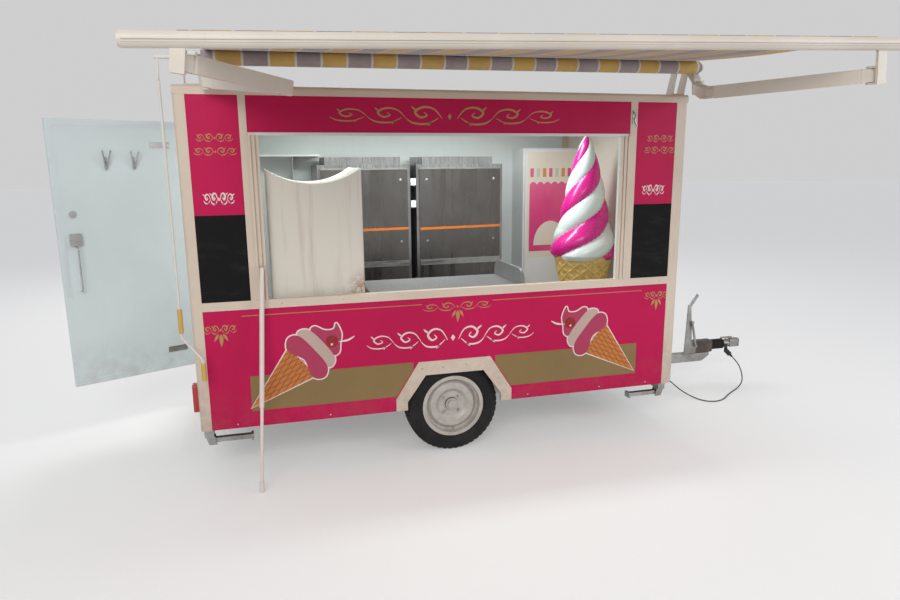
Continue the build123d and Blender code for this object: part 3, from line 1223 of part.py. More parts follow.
# Awning frame: torsion bar behind the roll, a shoulder under it at each arm, a plate at each end of the roll,
# and two feet that stand on the roof's edge
BAR_BEYOND = 90
END_PLATE = 8
BACK_PLATE = 8
HOOK_OVER = 14
BAR_LOW = -TORSION_BAR / 2
BAR_FRONT_FACE = TORSION_BACK - TORSION_BAR / 2
BAR_BACK_FACE = TORSION_BACK + TORSION_BAR / 2
GUSSET_FRONT = -5
GUSSET_LOW = -92
GUSSET_TALL = 30
FOOT_WIDE = 80
FOOT_DEEP = 78
FOOT_NEAR = 22
FOOT_PLATE = 6
FOOT_SEAT = 4
FOOT_STATIONS = (ROLL_START - 100, ROLL_START + 2 * ROLL_HALF - 115)
bar_back = TORSION_BACK - AWNING_OUT
with BuildPart() as awning_frame:
    for arm_name, shoulder_u, way in ARM_PLACES:
        arm = ARM_PLANES[arm_name]
        with BuildSketch(across_roll(shoulder_u - EAR_WIDE / 2)):
            with BuildLine():
                Polyline(
                    (GUSSET_FRONT, GUSSET_LOW),
                    (GUSSET_FRONT + WEB_THICK, GUSSET_LOW),
                    (BAR_BACK_FACE + BACK_PLATE, BAR_LOW - BACK_PLATE),
                    (BAR_BACK_FACE + BACK_PLATE, BAR_LOW + HOOK_OVER),
                    (BAR_BACK_FACE, BAR_LOW + HOOK_OVER),
                    (BAR_BACK_FACE, BAR_LOW),
                    (BAR_FRONT_FACE, BAR_LOW),
                    (GUSSET_FRONT, GUSSET_LOW + GUSSET_TALL),
                    close=True,
                )
            make_face()
        extrude(amount=EAR_WIDE)
        for low in (ARM_TOP, ARM_BOTTOM - EAR):
            with BuildSketch(arm.offset(low)):
                Circle(EAR_RADIUS)
                with Locations((0, (WEB_BACK + WEB_THICK) / 2)):
                    Rectangle(EAR_WIDE, WEB_BACK + WEB_THICK)
            extrude(amount=EAR)
        with BuildSketch(arm.offset(ARM_BOTTOM - EAR)):
            with Locations((0, WEB_BACK + WEB_THICK / 2)):
                Rectangle(EAR_WIDE, WEB_THICK)
            Circle(ARM_PIN)
        extrude(amount=ARM_HEIGHT + 2 * EAR)
    for plate_start in (-ROLL_HALF - SPINDLE_LONG, ROLL_HALF + SPINDLE_LONG - END_PLATE):
        with BuildSketch(across_roll(plate_start)):
            Circle(SPINDLE_RADIUS + 10)
            with Locations((BAR_FRONT_FACE / 2, 0)):
                Rectangle(BAR_FRONT_FACE, TORSION_BAR - 6)
            Circle(SPINDLE_RADIUS, mode=Mode.SUBTRACT)
        extrude(amount=END_PLATE)
    for start in FOOT_STATIONS:
        slab(start, start + FOOT_WIDE, FOOT_NEAR, FOOT_NEAR + FOOT_DEEP, BODY_TOP, BODY_TOP + FOOT_PLATE)
        for web_start in (start, start + FOOT_WIDE - FOOT_PLATE):
            bar_height = AWNING_Z + (web_start - AWNING_MID) * tan(TILT)
            with BuildSketch(end_plane(web_start)):
                with BuildLine():
                    Polyline(
                        (FOOT_NEAR, BODY_TOP),
                        (FOOT_NEAR + FOOT_DEEP, BODY_TOP),
                        (bar_back + TORSION_BAR / 2 + 3 * FOOT_SEAT, bar_height + FOOT_SEAT),
                        (bar_back, bar_height + FOOT_SEAT),
                        (bar_back - TORSION_BAR / 2 + FOOT_SEAT / 2, bar_height - TORSION_BAR),
                        close=True,
                    )
                make_face()
            extrude(amount=FOOT_PLATE)
    with BuildSketch(across_roll(-ROLL_HALF - BAR_BEYOND)):
        with Locations((TORSION_BACK, 0)):
            RectangleRounded(TORSION_BAR, TORSION_BAR, 4)
    extrude(amount=2 * ROLL_HALF + BAR_BEYOND + SPINDLE_LONG)
awning_frame.part.label = "awning_frame"
export_step(awning_frame.part, "parts/awning_frame.step")

# Folding arms: an upper arm and a forearm at each side, equal between pivots, each beam set to one side
# of its pivots so that the two lie side by side when folded
REACH = hypot(HAND_OUT - SHOULDER_OUT, SHOULDER_DROP - HAND_DROP)
ELBOW_IN = sqrt(ARM_LENGTH**2 - (REACH / 2) ** 2)
BEAM_START = 35
FORK_EAR = 12
TONGUE_GAP = 2
LINK_RADIUS = 21
PIN_FIT = 0.08


def link_plane(arm, start, end, w):
    """Sketch plane at a height over an arm's plane with x from one pivot to the next."""
    a = arm.from_local_coords(Vector(*start, w))
    b = arm.from_local_coords(Vector(*end, w))
    return Plane(a, x_dir=b - a, z_dir=arm.z_dir)


# columns: name, arm, start pivot and end pivot in its plane, side the beam is set to, whether its end forks
ARM_LINKS = []
for arm_name, pivot_u, way in ARM_PLACES:
    elbow = (way * ELBOW_IN, -REACH / 2)
    ARM_LINKS.append((f"upper_arm_{arm_name}", arm_name, (0, 0), elbow, way, True))
    ARM_LINKS.append((f"forearm_{arm_name}", arm_name, elbow, (0, -REACH), way, False))

for link_name, arm_name, start, end, side, forks in ARM_LINKS:
    arm = ARM_PLANES[arm_name]
    with BuildPart() as link:
        shift = side * ARM_SHIFT
        with BuildSketch(link_plane(arm, start, end, ARM_BOTTOM)):
            with Locations((ARM_LENGTH / 2, shift)):
                RectangleRounded(ARM_LENGTH - 2 * BEAM_START, ARM_WIDTH, 6)
        extrude(amount=ARM_HEIGHT)
        # columns: pivot station, heights of the lug's underside and top
        if forks:
            lugs = (
                (0, ARM_BOTTOM + EAR_GAP, ARM_TOP - EAR_GAP),
                (ARM_LENGTH, ARM_BOTTOM, ARM_BOTTOM + FORK_EAR),
                (ARM_LENGTH, ARM_TOP - FORK_EAR, ARM_TOP),
            )
        else:
            tongue = (ARM_BOTTOM + FORK_EAR + TONGUE_GAP, ARM_TOP - FORK_EAR - TONGUE_GAP)
            lugs = ((0, *tongue), (ARM_LENGTH, ARM_BOTTOM + EAR_GAP, ARM_TOP - EAR_GAP))
        for pivot, low, high in lugs:
            inward = BEAM_START + 20 if pivot == 0 else ARM_LENGTH - BEAM_START - 20
            with BuildSketch(link_plane(arm, start, end, low)):
                with BuildLine():
                    Polyline(
                        (pivot, -side * LINK_RADIUS),
                        (inward, shift - side * ARM_WIDTH / 2),
                        (inward, shift + side * (ARM_WIDTH / 2 - 4)),
                        (pivot, side * LINK_RADIUS),
                        close=True,
                    )
                make_face()
                with Locations((pivot, 0)):
                    Circle(LINK_RADIUS)
            extrude(amount=high - low)
        bored = (0,) if forks else (0, ARM_LENGTH)
        for pivot in bored:
            with BuildSketch(link_plane(arm, start, end, ARM_BOTTOM)):
                with Locations((pivot, 0)):
                    Circle(ARM_PIN + PIN_FIT)
            extrude(amount=ARM_HEIGHT, mode=Mode.SUBTRACT)
        if forks:
            with BuildSketch(link_plane(arm, start, end, ARM_BOTTOM)):
                with Locations((ARM_LENGTH, 0)):
                    Circle(ARM_PIN)
            extrude(amount=ARM_HEIGHT)
    link.part.label = link_name
    export_step(link.part, f"parts/{link_name}.step")


def bar_section(u):
    """Sketch plane across the front bar at a station along the roll: x is back towards the body, y is up."""
    lean = radians(BAR_TILT)
    along = awning.x_dir * cos(lean) + awning.z_dir * sin(lean)
    middle = awning.from_local_coords(Vector(u, 0, BAR_RISE + u * tan(lean)))
    return Plane(middle, x_dir=awning.y_dir, z_dir=along)


# Front bar: a rounded lead rail with a groove inside, and an ear bracket under it for each hand
BAR_LIP = 2
WEB_IN_BAR = 6
with BuildPart() as front_bar:
    with BuildSketch(bar_section(-BAR_REAR)):
        half = BAR_HEIGHT / 2
        outer = -BAR_OUT - BAR_DEPTH / 2
        inner = -BAR_OUT + BAR_DEPTH / 2
        with BuildLine():
            rail = Polyline(
                (outer + 12, half),
                (inner, half + BAR_LIP),
                (inner, half - 10),
                (inner - 10, half - 15),
                (inner - 10, -half + 10),
                (inner, -half + 6),
                (inner, -half),
                (outer + 16, -half),
            )
            ThreePointArc(rail @ 1, (outer, -2), rail @ 0)
        make_face()
    extrude(amount=(BAR_REAR + BAR_FRONT) / cos(radians(BAR_TILT)))
    for arm_name, pivot_u, way in ARM_PLACES:
        arm = ARM_PLANES[arm_name]
        bar_under = BAR_RISE + pivot_u * tan(radians(BAR_TILT)) - BAR_HEIGHT / 2 + HAND_DROP
        for low in (ARM_TOP, ARM_BOTTOM - EAR):
            with BuildSketch(arm.offset(low)):
                with Locations((0, -REACH)):
                    Circle(EAR_RADIUS)
                with Locations((0, -REACH - (WEB_BACK + WEB_THICK) / 2)):
                    Rectangle(EAR_WIDE, WEB_BACK + WEB_THICK)
            extrude(amount=EAR)
        with BuildSketch(arm.offset(ARM_BOTTOM - EAR)):
            with Locations((0, -REACH - WEB_BACK - WEB_THICK / 2)):
                Rectangle(EAR_WIDE, WEB_THICK)
        extrude(amount=bar_under + WEB_IN_BAR - ARM_BOTTOM + EAR)
        with BuildSketch(arm.offset(ARM_BOTTOM - EAR)):
            with Locations((0, -REACH)):
                Circle(ARM_PIN)
        extrude(amount=ARM_HEIGHT + 2 * EAR)
front_bar.part.label = "front_bar"
export_step(front_bar.part, "parts/front_bar.step")

# Cloth: from the top of the roll to the bar's upper lip, with the slight twist between the two
CLOTH_CLEAR = 0.3
cloth_long = 2 * ROLL_HALF - 2 * CLOTH_SIDE
# columns: way out from the roll, height of the cloth's underside, lean along the roll
CLOTH_EDGES = (
    (0, ROLL_RADIUS, 0),
    (BAR_OUT - BAR_DEPTH / 2, BAR_RISE + BAR_HEIGHT / 2 + BAR_LIP, radians(BAR_TILT)),
)
with BuildPart() as awning_cloth:
    for way_out, underside, lean in CLOTH_EDGES:
        middle = awning.from_local_coords(Vector(0, -way_out, underside + CLOTH_CLEAR + CLOTH_THICK / 2))
        along = awning.x_dir * cos(lean) + awning.z_dir * sin(lean)
        with BuildSketch(Plane(middle, x_dir=along, z_dir=-awning.y_dir)):
            Rectangle(cloth_long, CLOTH_THICK)
    loft(ruled=True)
awning_cloth.part.label = "awning_cloth"
export_step(awning_cloth.part, "parts/awning_cloth.step")

# Awning drive: gearbox outside the end plate, drive tube, the eye, and the crank that hangs in it
GEAR_LONG = 60
EYE_X = ROLL_START - 205
EYE_Y = -75
EYE_Z = 2200
EYE_RADIUS = 12
EYE_BAR = 4
GEAR_START = -ROLL_HALF - SPINDLE_LONG - GEAR_LONG
CRANK_ROD = 7
GRIP_RADIUS = 12
CRANK_TOP = EYE_Z - EYE_RADIUS - EYE_BAR - 0.3
CRANK_BEND = 880
CRANK_STEP = 95
CRANK_DROP = 130
GRIP_LONG = 120
crank_plane = Plane((X0, Y0 + EYE_Y, 0), x_dir=(1, 0, 0), z_dir=(0, -1, 0))
eye_u = (EYE_X - AWNING_MID) / cos(TILT)
with BuildPart() as awning_crank:
    with BuildSketch(across_roll(GEAR_START)):
        RectangleRounded(56, 62, 12)
    extrude(amount=GEAR_LONG)
    with BuildSketch(across_roll(eye_u - 12)):
        Circle(11)
    extrude(amount=GEAR_START - eye_u + 12)
    drive_end = awning.from_local_coords(Vector(eye_u, 0, 0))
    eye_top = Vector(X0 + EYE_X, Y0 + EYE_Y, EYE_Z + EYE_RADIUS)
    with BuildSketch(Plane(drive_end, z_dir=eye_top - drive_end)):
        Circle(6)
    extrude(amount=(eye_top - drive_end).length)
    with Locations(Plane((X0 + EYE_X, Y0 + EYE_Y, EYE_Z), x_dir=(0, 1, 0), z_dir=(1, 0, 0))):
        Torus(EYE_RADIUS, EYE_BAR)
    with BuildLine(crank_plane) as crank_path:
        FilletPolyline(
            (EYE_X, CRANK_TOP),
            (EYE_X, CRANK_BEND),
            (EYE_X + CRANK_STEP, CRANK_BEND - CRANK_DROP),
            (EYE_X + CRANK_STEP, CRANK_BEND - CRANK_DROP - GRIP_LONG),
            radius=40,
        )
    with BuildSketch(level(CRANK_TOP)):
        with Locations((EYE_X, EYE_Y)):
            Circle(CRANK_ROD)
    sweep(path=crank_path.wires()[0])
    with BuildSketch(level(CRANK_BEND - CRANK_DROP - 20)):
        with Locations((EYE_X + CRANK_STEP, EYE_Y)):
            Circle(GRIP_RADIUS)
    extrude(amount=-GRIP_LONG + 20)
    with BuildSketch(level(CRANK_BEND + 30)):
        with Locations((EYE_X, EYE_Y)):
            Circle(GRIP_RADIUS - 1)
    extrude(amount=GRIP_LONG)
awning_crank.part.label = "awning_crank"
export_step(awning_crank.part, "parts/awning_crank.step")

# Prop pole: an outer tube on the fork's pin, and a telescoping leg that stands on the ground
POLE_FOOT_X = 310
POLE_FOOT_Y = -199
POLE_FOOT_Z = 3
POLE_LEG_RADIUS = 9
POLE_TUBE_LONG = 760
POLE_LEG_IN = 330
POLE_TRAVEL = 300
FOOT_CAP = 60
PIN_TO_END = 8
pole_top = Vector(X0 + POLE_X, Y0 - POLE_OUT, POLE_TOP)
pole_foot = Vector(X0 + POLE_FOOT_X, Y0 + POLE_FOOT_Y, POLE_FOOT_Z)
pole = Plane(pole_top, z_dir=pole_foot - pole_top)
POLE_LENGTH = (pole_foot - pole_top).length
with BuildPart() as pole_tube:
    with BuildSketch(pole.offset(-PIN_TO_END)):
        Circle(POLE_RADIUS)
    extrude(amount=POLE_TUBE_LONG + PIN_TO_END)
    fillet(pole_tube.edges().sort_by(Axis.Z)[-1], 6)
    pole_bore = POLE_LEG_IN + POLE_TRAVEL + 20
    with BuildSketch(pole.offset(POLE_TUBE_LONG - pole_bore)):
        Circle(POLE_LEG_RADIUS + SLIDE_PLAY)
    extrude(amount=pole_bore, mode=Mode.SUBTRACT)
    with BuildSketch(end_plane(POLE_X - POLE_RADIUS - 1)):
        with Locations((-POLE_OUT, POLE_TOP)):
            Circle(POLE_PIN + SLIDE_PLAY)
    extrude(amount=2 * POLE_RADIUS + 2, mode=Mode.SUBTRACT)
pole_tube.part.label = "pole_tube"
export_step(pole_tube.part, "parts/pole_tube.step")

with BuildPart() as pole_leg:
    with BuildSketch(pole.offset(POLE_TUBE_LONG - POLE_LEG_IN)):
        Circle(POLE_LEG_RADIUS)
    extrude(amount=POLE_LENGTH - POLE_TUBE_LONG + POLE_LEG_IN)
    with BuildSketch(pole.offset(POLE_LENGTH - FOOT_CAP)):
        Circle(POLE_RADIUS)
    extrude(amount=FOOT_CAP)
pole_leg.part.label = "pole_leg"
export_step(pole_leg.part, "parts/pole_leg.step")

# Counter under the window: a worktop with a rounded splash board at its front end, two end panels and a shelf
REST_GAP = 0.3
COUNTER_START = 1000
COUNTER_END = 1950
COUNTER_NEAR = WALL + REST_GAP
COUNTER_FAR = 580
COUNTER_TOP = 1020
COUNTER_THICK = 30
COUNTER_PANEL = 18
SPLASH_TOP = 1130
SPLASH_ROUND = 90
COUNTER_SHELF = 700
with BuildPart() as counter_top:
    slab(COUNTER_START, COUNTER_END, COUNTER_NEAR, COUNTER_FAR, COUNTER_TOP - COUNTER_THICK, COUNTER_TOP)
    with BuildSketch(end_plane(COUNTER_END - COUNTER_PANEL)) as splash:
        with Locations(((COUNTER_NEAR + 20 + COUNTER_FAR) / 2, (COUNTER_TOP - 1 + SPLASH_TOP) / 2)):
            Rectangle(COUNTER_FAR - COUNTER_NEAR - 20, SPLASH_TOP - COUNTER_TOP + 1)
        fillet(splash.vertices().group_by(Axis.Y)[-1], SPLASH_ROUND)
    extrude(amount=COUNTER_PANEL)
counter_top.part.label = "counter_top"
export_step(counter_top.part, "parts/counter_top.step")

with BuildPart() as counter_stand:
    for x1 in (COUNTER_START, COUNTER_END - COUNTER_PANEL):
        slab(
            x1,
            x1 + COUNTER_PANEL,
            COUNTER_NEAR + 20,
            COUNTER_FAR - 20,
            FLOOR_TOP + REST_GAP,
            COUNTER_TOP - COUNTER_THICK - REST_GAP,
        )
    slab(
        COUNTER_START + COUNTER_PANEL,
        COUNTER_END - COUNTER_PANEL,
        COUNTER_NEAR + 20,
        COUNTER_FAR - 20,
        COUNTER_SHELF,
        COUNTER_SHELF + COUNTER_PANEL,
    )
counter_stand.part.label = "counter_stand"
export_step(counter_stand.part, "parts/counter_stand.step")

# Soft ice machine: a case of walls with a hollow curved top, open in the middle of its base, with feet, its
# dispensing head and its drip tray on the aisle side
MACHINE_START = 430
MACHINE_END = 960
MACHINE_NEAR = 80
MACHINE_FAR = 690
MACHINE_FOOT = 40
MACHINE_WALL = 15
MACHINE_SILL = 100
MACHINE_CORNER = 1755
MACHINE_DIP = 1670
SPOUT_Z = 1390
with BuildPart() as ice_cream_machine:
    with BuildSketch(side_plane(MACHINE_NEAR)) as machine_front:
        with BuildLine():
            sides = Polyline(
                (MACHINE_START, MACHINE_CORNER),
                (MACHINE_START, FLOOR_TOP + MACHINE_FOOT),
                (MACHINE_END, FLOOR_TOP + MACHINE_FOOT),
                (MACHINE_END, MACHINE_CORNER),
            )
            ThreePointArc(sides @ 1, ((MACHINE_START + MACHINE_END) / 2, MACHINE_DIP), sides @ 0)
        make_face()
    extrude(amount=MACHINE_NEAR - MACHINE_FAR)
    fillet(ice_cream_machine.edges().filter_by(Axis.Z), 14)
    inside_low = FLOOR_TOP + MACHINE_FOOT + MACHINE_WALL
    with BuildSketch(side_plane(MACHINE_NEAR + MACHINE_WALL)):
        with BuildLine():
            sides = Polyline(
                (MACHINE_START + MACHINE_WALL, MACHINE_CORNER - MACHINE_WALL),
                (MACHINE_START + MACHINE_WALL, inside_low),
                (MACHINE_END - MACHINE_WALL, inside_low),
                (MACHINE_END - MACHINE_WALL, MACHINE_CORNER - MACHINE_WALL),
            )
            inside_dip = ((MACHINE_START + MACHINE_END) / 2, MACHINE_DIP - MACHINE_WALL)
            ThreePointArc(sides @ 1, inside_dip, sides @ 0)
        make_face()
    extrude(amount=MACHINE_NEAR - MACHINE_FAR + 2 * MACHINE_WALL, mode=Mode.SUBTRACT)
    slab(
        MACHINE_START + MACHINE_SILL,
        MACHINE_END - MACHINE_SILL,
        MACHINE_NEAR + MACHINE_SILL,
        MACHINE_FAR - MACHINE_SILL,
        FLOOR_TOP,
        inside_low,
        mode=Mode.SUBTRACT,
    )
    for x in (MACHINE_START + 50, MACHINE_END - 50):
        for y in (MACHINE_NEAR + 50, MACHINE_FAR - 50):
            with BuildSketch(level(FLOOR_TOP + REST_GAP)):
                with Locations((x, y)):
                    Circle(18)
            extrude(amount=MACHINE_FOOT)
    machine_mid = (MACHINE_START + MACHINE_END) / 2
    slab(machine_mid - 70, machine_mid + 70, MACHINE_FAR, MACHINE_FAR + 28, SPOUT_Z - 40, SPOUT_Z + 130)
    for x in (machine_mid - 42, machine_mid, machine_mid + 42):
        with BuildSketch(level(SPOUT_Z - 75)):
            with Locations((x, MACHINE_FAR + 16)):
                Circle(11)
        extrude(amount=60)
    slab(machine_mid - 150, machine_mid + 150, MACHINE_FAR, MACHINE_FAR + 50, SPOUT_Z - 260, SPOUT_Z - 240)
ice_cream_machine.part.label = "ice_cream_machine"
export_step(ice_cream_machine.part, "parts/ice_cream_machine.step")

# Steel cabinets along the far wall: two folded cases, open below, cut to stand over the wheel tub
TALL_LONG = 530
TALL_START = BODY_LENGTH - TALL_LONG
CABINET_LONG = 668
CABINET_APART = 46
CABINET_BEFORE_TALL = 298
CABINET_STARTS = (
    TALL_START - CABINET_BEFORE_TALL - CABINET_APART - 2 * CABINET_LONG,
    TALL_START - CABINET_BEFORE_TALL - CABINET_LONG,
)
CABINET_NEAR = 1100
CABINET_FAR = BODY_WIDTH - WALL - 10
CABINET_TOP = 1770
CASE_STEEL = 3
TRAY_TALL = 55
TUB_CLEAR = 6
with BuildPart() as steel_cabinets:
    for x1 in CABINET_STARTS:
        x2 = x1 + CABINET_LONG
        slab(x1, x2, CABINET_NEAR, CABINET_FAR, FLOOR_TOP + REST_GAP, CABINET_TOP)
        slab(
            x1 + CASE_STEEL,
            x2 - CASE_STEEL,
            CABINET_NEAR + CASE_STEEL,
            CABINET_FAR - CASE_STEEL,
            FLOOR_TOP,
            CABINET_TOP - CASE_STEEL,
            mode=Mode.SUBTRACT,
        )
        slab(x1 + 60, x2 - 60, CABINET_NEAR + 60, CABINET_FAR - 60, CABINET_TOP, CABINET_TOP + TRAY_TALL)
        slab(
            x1 + 60 + CASE_STEEL,
            x2 - 60 - CASE_STEEL,
            CABINET_NEAR + 60 + CASE_STEEL,
            CABINET_FAR - 60 - CASE_STEEL,
            CABINET_TOP,
            CABINET_TOP + TRAY_TALL,
            mode=Mode.SUBTRACT,
        )
    slab(
        AXLE_X - TUB_HALF - TUB_CLEAR,
        AXLE_X + TUB_HALF + TUB_CLEAR,
        BODY_WIDTH - WALL - TUB_DEPTH - TUB_CLEAR,
        CABINET_FAR,
        FLOOR_TOP,
        TUB_TOP + TUB_CLEAR,
        mode=Mode.SUBTRACT,
    )
steel_cabinets.part.label = "steel_cabinets"
export_step(steel_cabinets.part, "parts/steel_cabinets.step")

# Tall cabinet in the far front corner, with its door proud of the case
TALL_NEAR = 1420
TALL_TOP = 1890
with BuildPart() as tall_cabinet:
    tall_end = BODY_LENGTH - WALL - REST_GAP
    slab(TALL_START, tall_end, TALL_NEAR, BODY_WIDTH - WALL - REST_GAP, FLOOR_TOP + REST_GAP, TALL_TOP)
    slab(TALL_START + 12, tall_end - 12, TALL_NEAR - 18, TALL_NEAR, FLOOR_TOP + 60, TALL_TOP - 12)
tall_cabinet.part.label = "tall_cabinet"
export_step(tall_cabinet.part, "parts/tall_cabinet.step")

# Display cone by the front wall: plinth, waffle cone and the swirl of soft ice as stacked round tiers
CONE_BEFORE_FRONT = 310
CONE_X = BODY_LENGTH - CONE_BEFORE_FRONT
CONE_Y = 750
PLINTH_RADIUS = 200
PLINTH_TALL = 40
CONE_FOOT = 60
CONE_MOUTH = 215
CONE_TALL = 708
# columns: radius of each tier of the swirl, height of the tier
SWIRL_TIERS = ((245, 190), (230, 175), (200, 160), (162, 145), (120, 120))
SWIRL_TIP = 80
SWIRL_LAST = 60
SWIRL_WAIST = 25
with BuildPart() as display_cone:
    cone_axis = Axis((X0 + CONE_X, Y0 + CONE_Y, 0), (0, 0, 1))
    with BuildSketch(Plane((X0 + CONE_X, Y0 + CONE_Y, 0), x_dir=(1, 0, 0), z_dir=(0, -1, 0))):
        with BuildLine():
            low = FLOOR_TOP + REST_GAP
            foot = Polyline(
                (0, low),
                (PLINTH_RADIUS, low),
                (PLINTH_RADIUS, low + PLINTH_TALL),
                (CONE_FOOT, low + PLINTH_TALL),
                (CONE_MOUTH, low + PLINTH_TALL + CONE_TALL),
            )
            last = foot
            z = low + PLINTH_TALL + CONE_TALL
            for n, (radius, tall) in enumerate(SWIRL_TIERS):
                next_radius = SWIRL_TIERS[n + 1][0] if n + 1 < len(SWIRL_TIERS) else SWIRL_LAST
                waist = (radius + next_radius) / 2 - SWIRL_WAIST
                last = ThreePointArc(last @ 1, (radius, z + tall * 0.45), (waist, z + tall))
                z += tall
            tip = Polyline(last @ 1, (10, z + SWIRL_TIP - 8), (0, z + SWIRL_TIP))
            Line(tip @ 1, foot @ 0)
        make_face()
    revolve(axis=cone_axis)
display_cone.part.label = "display_cone"
export_step(display_cone.part, "parts/display_cone.step")

# Shelf high on the far wall at the rear, on two brackets
SHELF_OVER_CABINET = 55
SHELF_END = CABINET_STARTS[0] + SHELF_OVER_CABINET
SHELF_Z = 1835
SHELF_THICK = 15
BRACKET_FIRST = 220
BRACKET_BEFORE_CABINET = 150
BRACKET_STATIONS = (BRACKET_FIRST, CABINET_STARTS[0] - BRACKET_BEFORE_CABINET)
with BuildPart() as wall_shelf:
    shelf_back = BODY_WIDTH - WALL - REST_GAP
    slab(WALL + REST_GAP, SHELF_END, TALL_NEAR, shelf_back, SHELF_Z, SHELF_Z + SHELF_THICK)
    for x1 in BRACKET_STATIONS:
        with BuildSketch(end_plane(x1)):
            with BuildLine():
                Polyline(
                    (shelf_back, SHELF_Z),
                    (shelf_back, SHELF_Z - 180),
                    (shelf_back - 20, SHELF_Z - 180),
                    (TALL_NEAR + 30, SHELF_Z - 20),
                    (TALL_NEAR + 30, SHELF_Z),
                    close=True,
                )
            make_face()
        extrude(amount=5)
wall_shelf.part.label = "wall_shelf"
export_step(wall_shelf.part, "parts/wall_shelf.step")

# Lighting lead: out of the drawbar's gland, a loose loop on the ground, and up to its plug at the coupling.
# columns: along the body, across it, up from the ground
LEAD_DIAMETER = 8
LEAD_ROUTE = (
    (3330, 794, 190),
    (3336, 730, 180),
    (3360, 655, 140),
    (3400, 580, 85),
    (3445, 505, 35),
    (3490, 435, 9),
    (3520, 345, 5),
    (3600, 300, 5),
    (3695, 330, 5),
    (3780, 400, 5),
    (3870, 460, 5),
    (3960, 510, 9),
    (4040, 560, 38),
    (4085, 630, 90),
    (4098, 702, 150),
    (4078, 757, 190),
)
lead_points = [Vector(X0 + x, Y0 + y, z) for x, y, z in LEAD_ROUTE]
lead_radii = []
for before, at, after in zip(lead_points, lead_points[1:], lead_points[2:]):
    arriving = at - before
    leaving = after - at
    turn = radians(arriving.get_angle(leaving))
    lead_radii.append(0.45 * min(arriving.length, leaving.length) / tan(turn / 2))
with BuildPart() as lead_cable:
    with BuildLine() as lead_route:
        FilletPolyline(*lead_points, radius=lead_radii)
    with BuildSketch(Plane(lead_points[0], z_dir=lead_points[1] - lead_points[0])):
        Circle(LEAD_DIAMETER / 2)
    sweep(path=lead_route.wires()[0])
print("lead length", round(lead_route.wires()[0].length))
lead_cable.part.label = "lead_cable"
export_step(lead_cable.part, "parts/lead_cable.step")

# Lighting plug in its parking plate beside the coupling
PLUG_RADIUS = 19
PLUG_BOOT = 22
PLUG_LONG = 48
PARK_PLATE_LONG = 28
PARK_PLATE_NEAR = DRAWBAR_Y - 38
PARK_PLATE_TALL = 69
PARK_PLATE_OVER = 4
PARK_PLATE_HIGH = TOW_Z + PARK_PLATE_OVER
PARK_PLATE_LOW = PARK_PLATE_HIGH - PARK_PLATE_TALL
COLLAR_WALL = 8
plug_way = (lead_points[-1] - lead_points[-2]).normalized()
with BuildPart() as lead_plug:
    with BuildSketch(Plane(lead_points[-1] + plug_way * BUTT_GAP, z_dir=plug_way)):
        Circle(PLUG_RADIUS - 10)
    extrude(amount=PLUG_BOOT)
    with BuildSketch(Plane(lead_points[-1] + plug_way * PLUG_BOOT, z_dir=plug_way)):
        Circle(PLUG_RADIUS)
    extrude(amount=PLUG_LONG)
    fillet(lead_plug.edges().sort_by(Axis.Y)[-1], 3)
    slab(
        BELLOWS_END,
        BELLOWS_END + PARK_PLATE_LONG,
        PARK_PLATE_NEAR,
        DRAWBAR_Y - SHAFT_RADIUS - COLLAR_WALL - BUTT_GAP,
        PARK_PLATE_LOW,
        PARK_PLATE_HIGH,
    )
lead_plug.part.label = "lead_plug"
export_step(lead_plug.part, "parts/lead_plug.step")
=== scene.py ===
from math import atan2, cos, floor, pi, radians, sin, tan

import bmesh
import bpy
from mathutils import Matrix, Vector


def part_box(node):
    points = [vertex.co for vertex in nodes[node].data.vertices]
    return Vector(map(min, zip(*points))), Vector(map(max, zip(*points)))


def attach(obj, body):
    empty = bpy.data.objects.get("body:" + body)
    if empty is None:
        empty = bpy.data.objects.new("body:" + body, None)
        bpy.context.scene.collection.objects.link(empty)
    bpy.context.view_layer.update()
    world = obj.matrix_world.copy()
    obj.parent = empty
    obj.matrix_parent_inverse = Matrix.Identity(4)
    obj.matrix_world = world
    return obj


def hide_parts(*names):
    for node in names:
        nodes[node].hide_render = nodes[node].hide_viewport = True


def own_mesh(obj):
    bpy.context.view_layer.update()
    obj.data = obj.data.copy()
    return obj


# A food trailer for soft ice cream, seen from its serving side. Metres, in the part's own frame.
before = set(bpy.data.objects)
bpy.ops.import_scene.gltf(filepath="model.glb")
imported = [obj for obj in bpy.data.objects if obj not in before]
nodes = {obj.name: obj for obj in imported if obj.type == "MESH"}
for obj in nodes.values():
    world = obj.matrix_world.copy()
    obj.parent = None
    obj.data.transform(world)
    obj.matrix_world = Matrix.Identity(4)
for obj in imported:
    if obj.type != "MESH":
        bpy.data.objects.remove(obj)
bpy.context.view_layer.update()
BODY = "trailer_body"

# The body's rear corner: x runs ahead from the rear face, y away from the serving face, z up from the ground
post_low, post_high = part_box("posts")
CORNER = Vector((post_low[0], post_low[1], 0))
BODY_WIDTH = post_high[1] - post_low[1]

# Outer faces of the side panels and of the trims over them; thickness and outer face of a printed film
PANEL_Y = 0.002
TRIM_Y = -0.001
FILM = 0.0004
PRINT_Y = PANEL_Y - FILM


def at(x, y, z):
    """A place given from the body's rear corner, as a point in the part's frame."""
    return CORNER + Vector((x, y, z))


def placed(name, data):
    """A new object in the scene."""
    thing = bpy.data.objects.new(name, data)
    bpy.context.scene.collection.objects.link(thing)
    return thing


def fill_in(node, **values):
    """Set a shader node's inputs by their names, with _ for a space."""
    for socket, value in values.items():
        node.inputs[socket.replace("_", " ")].default_value = value


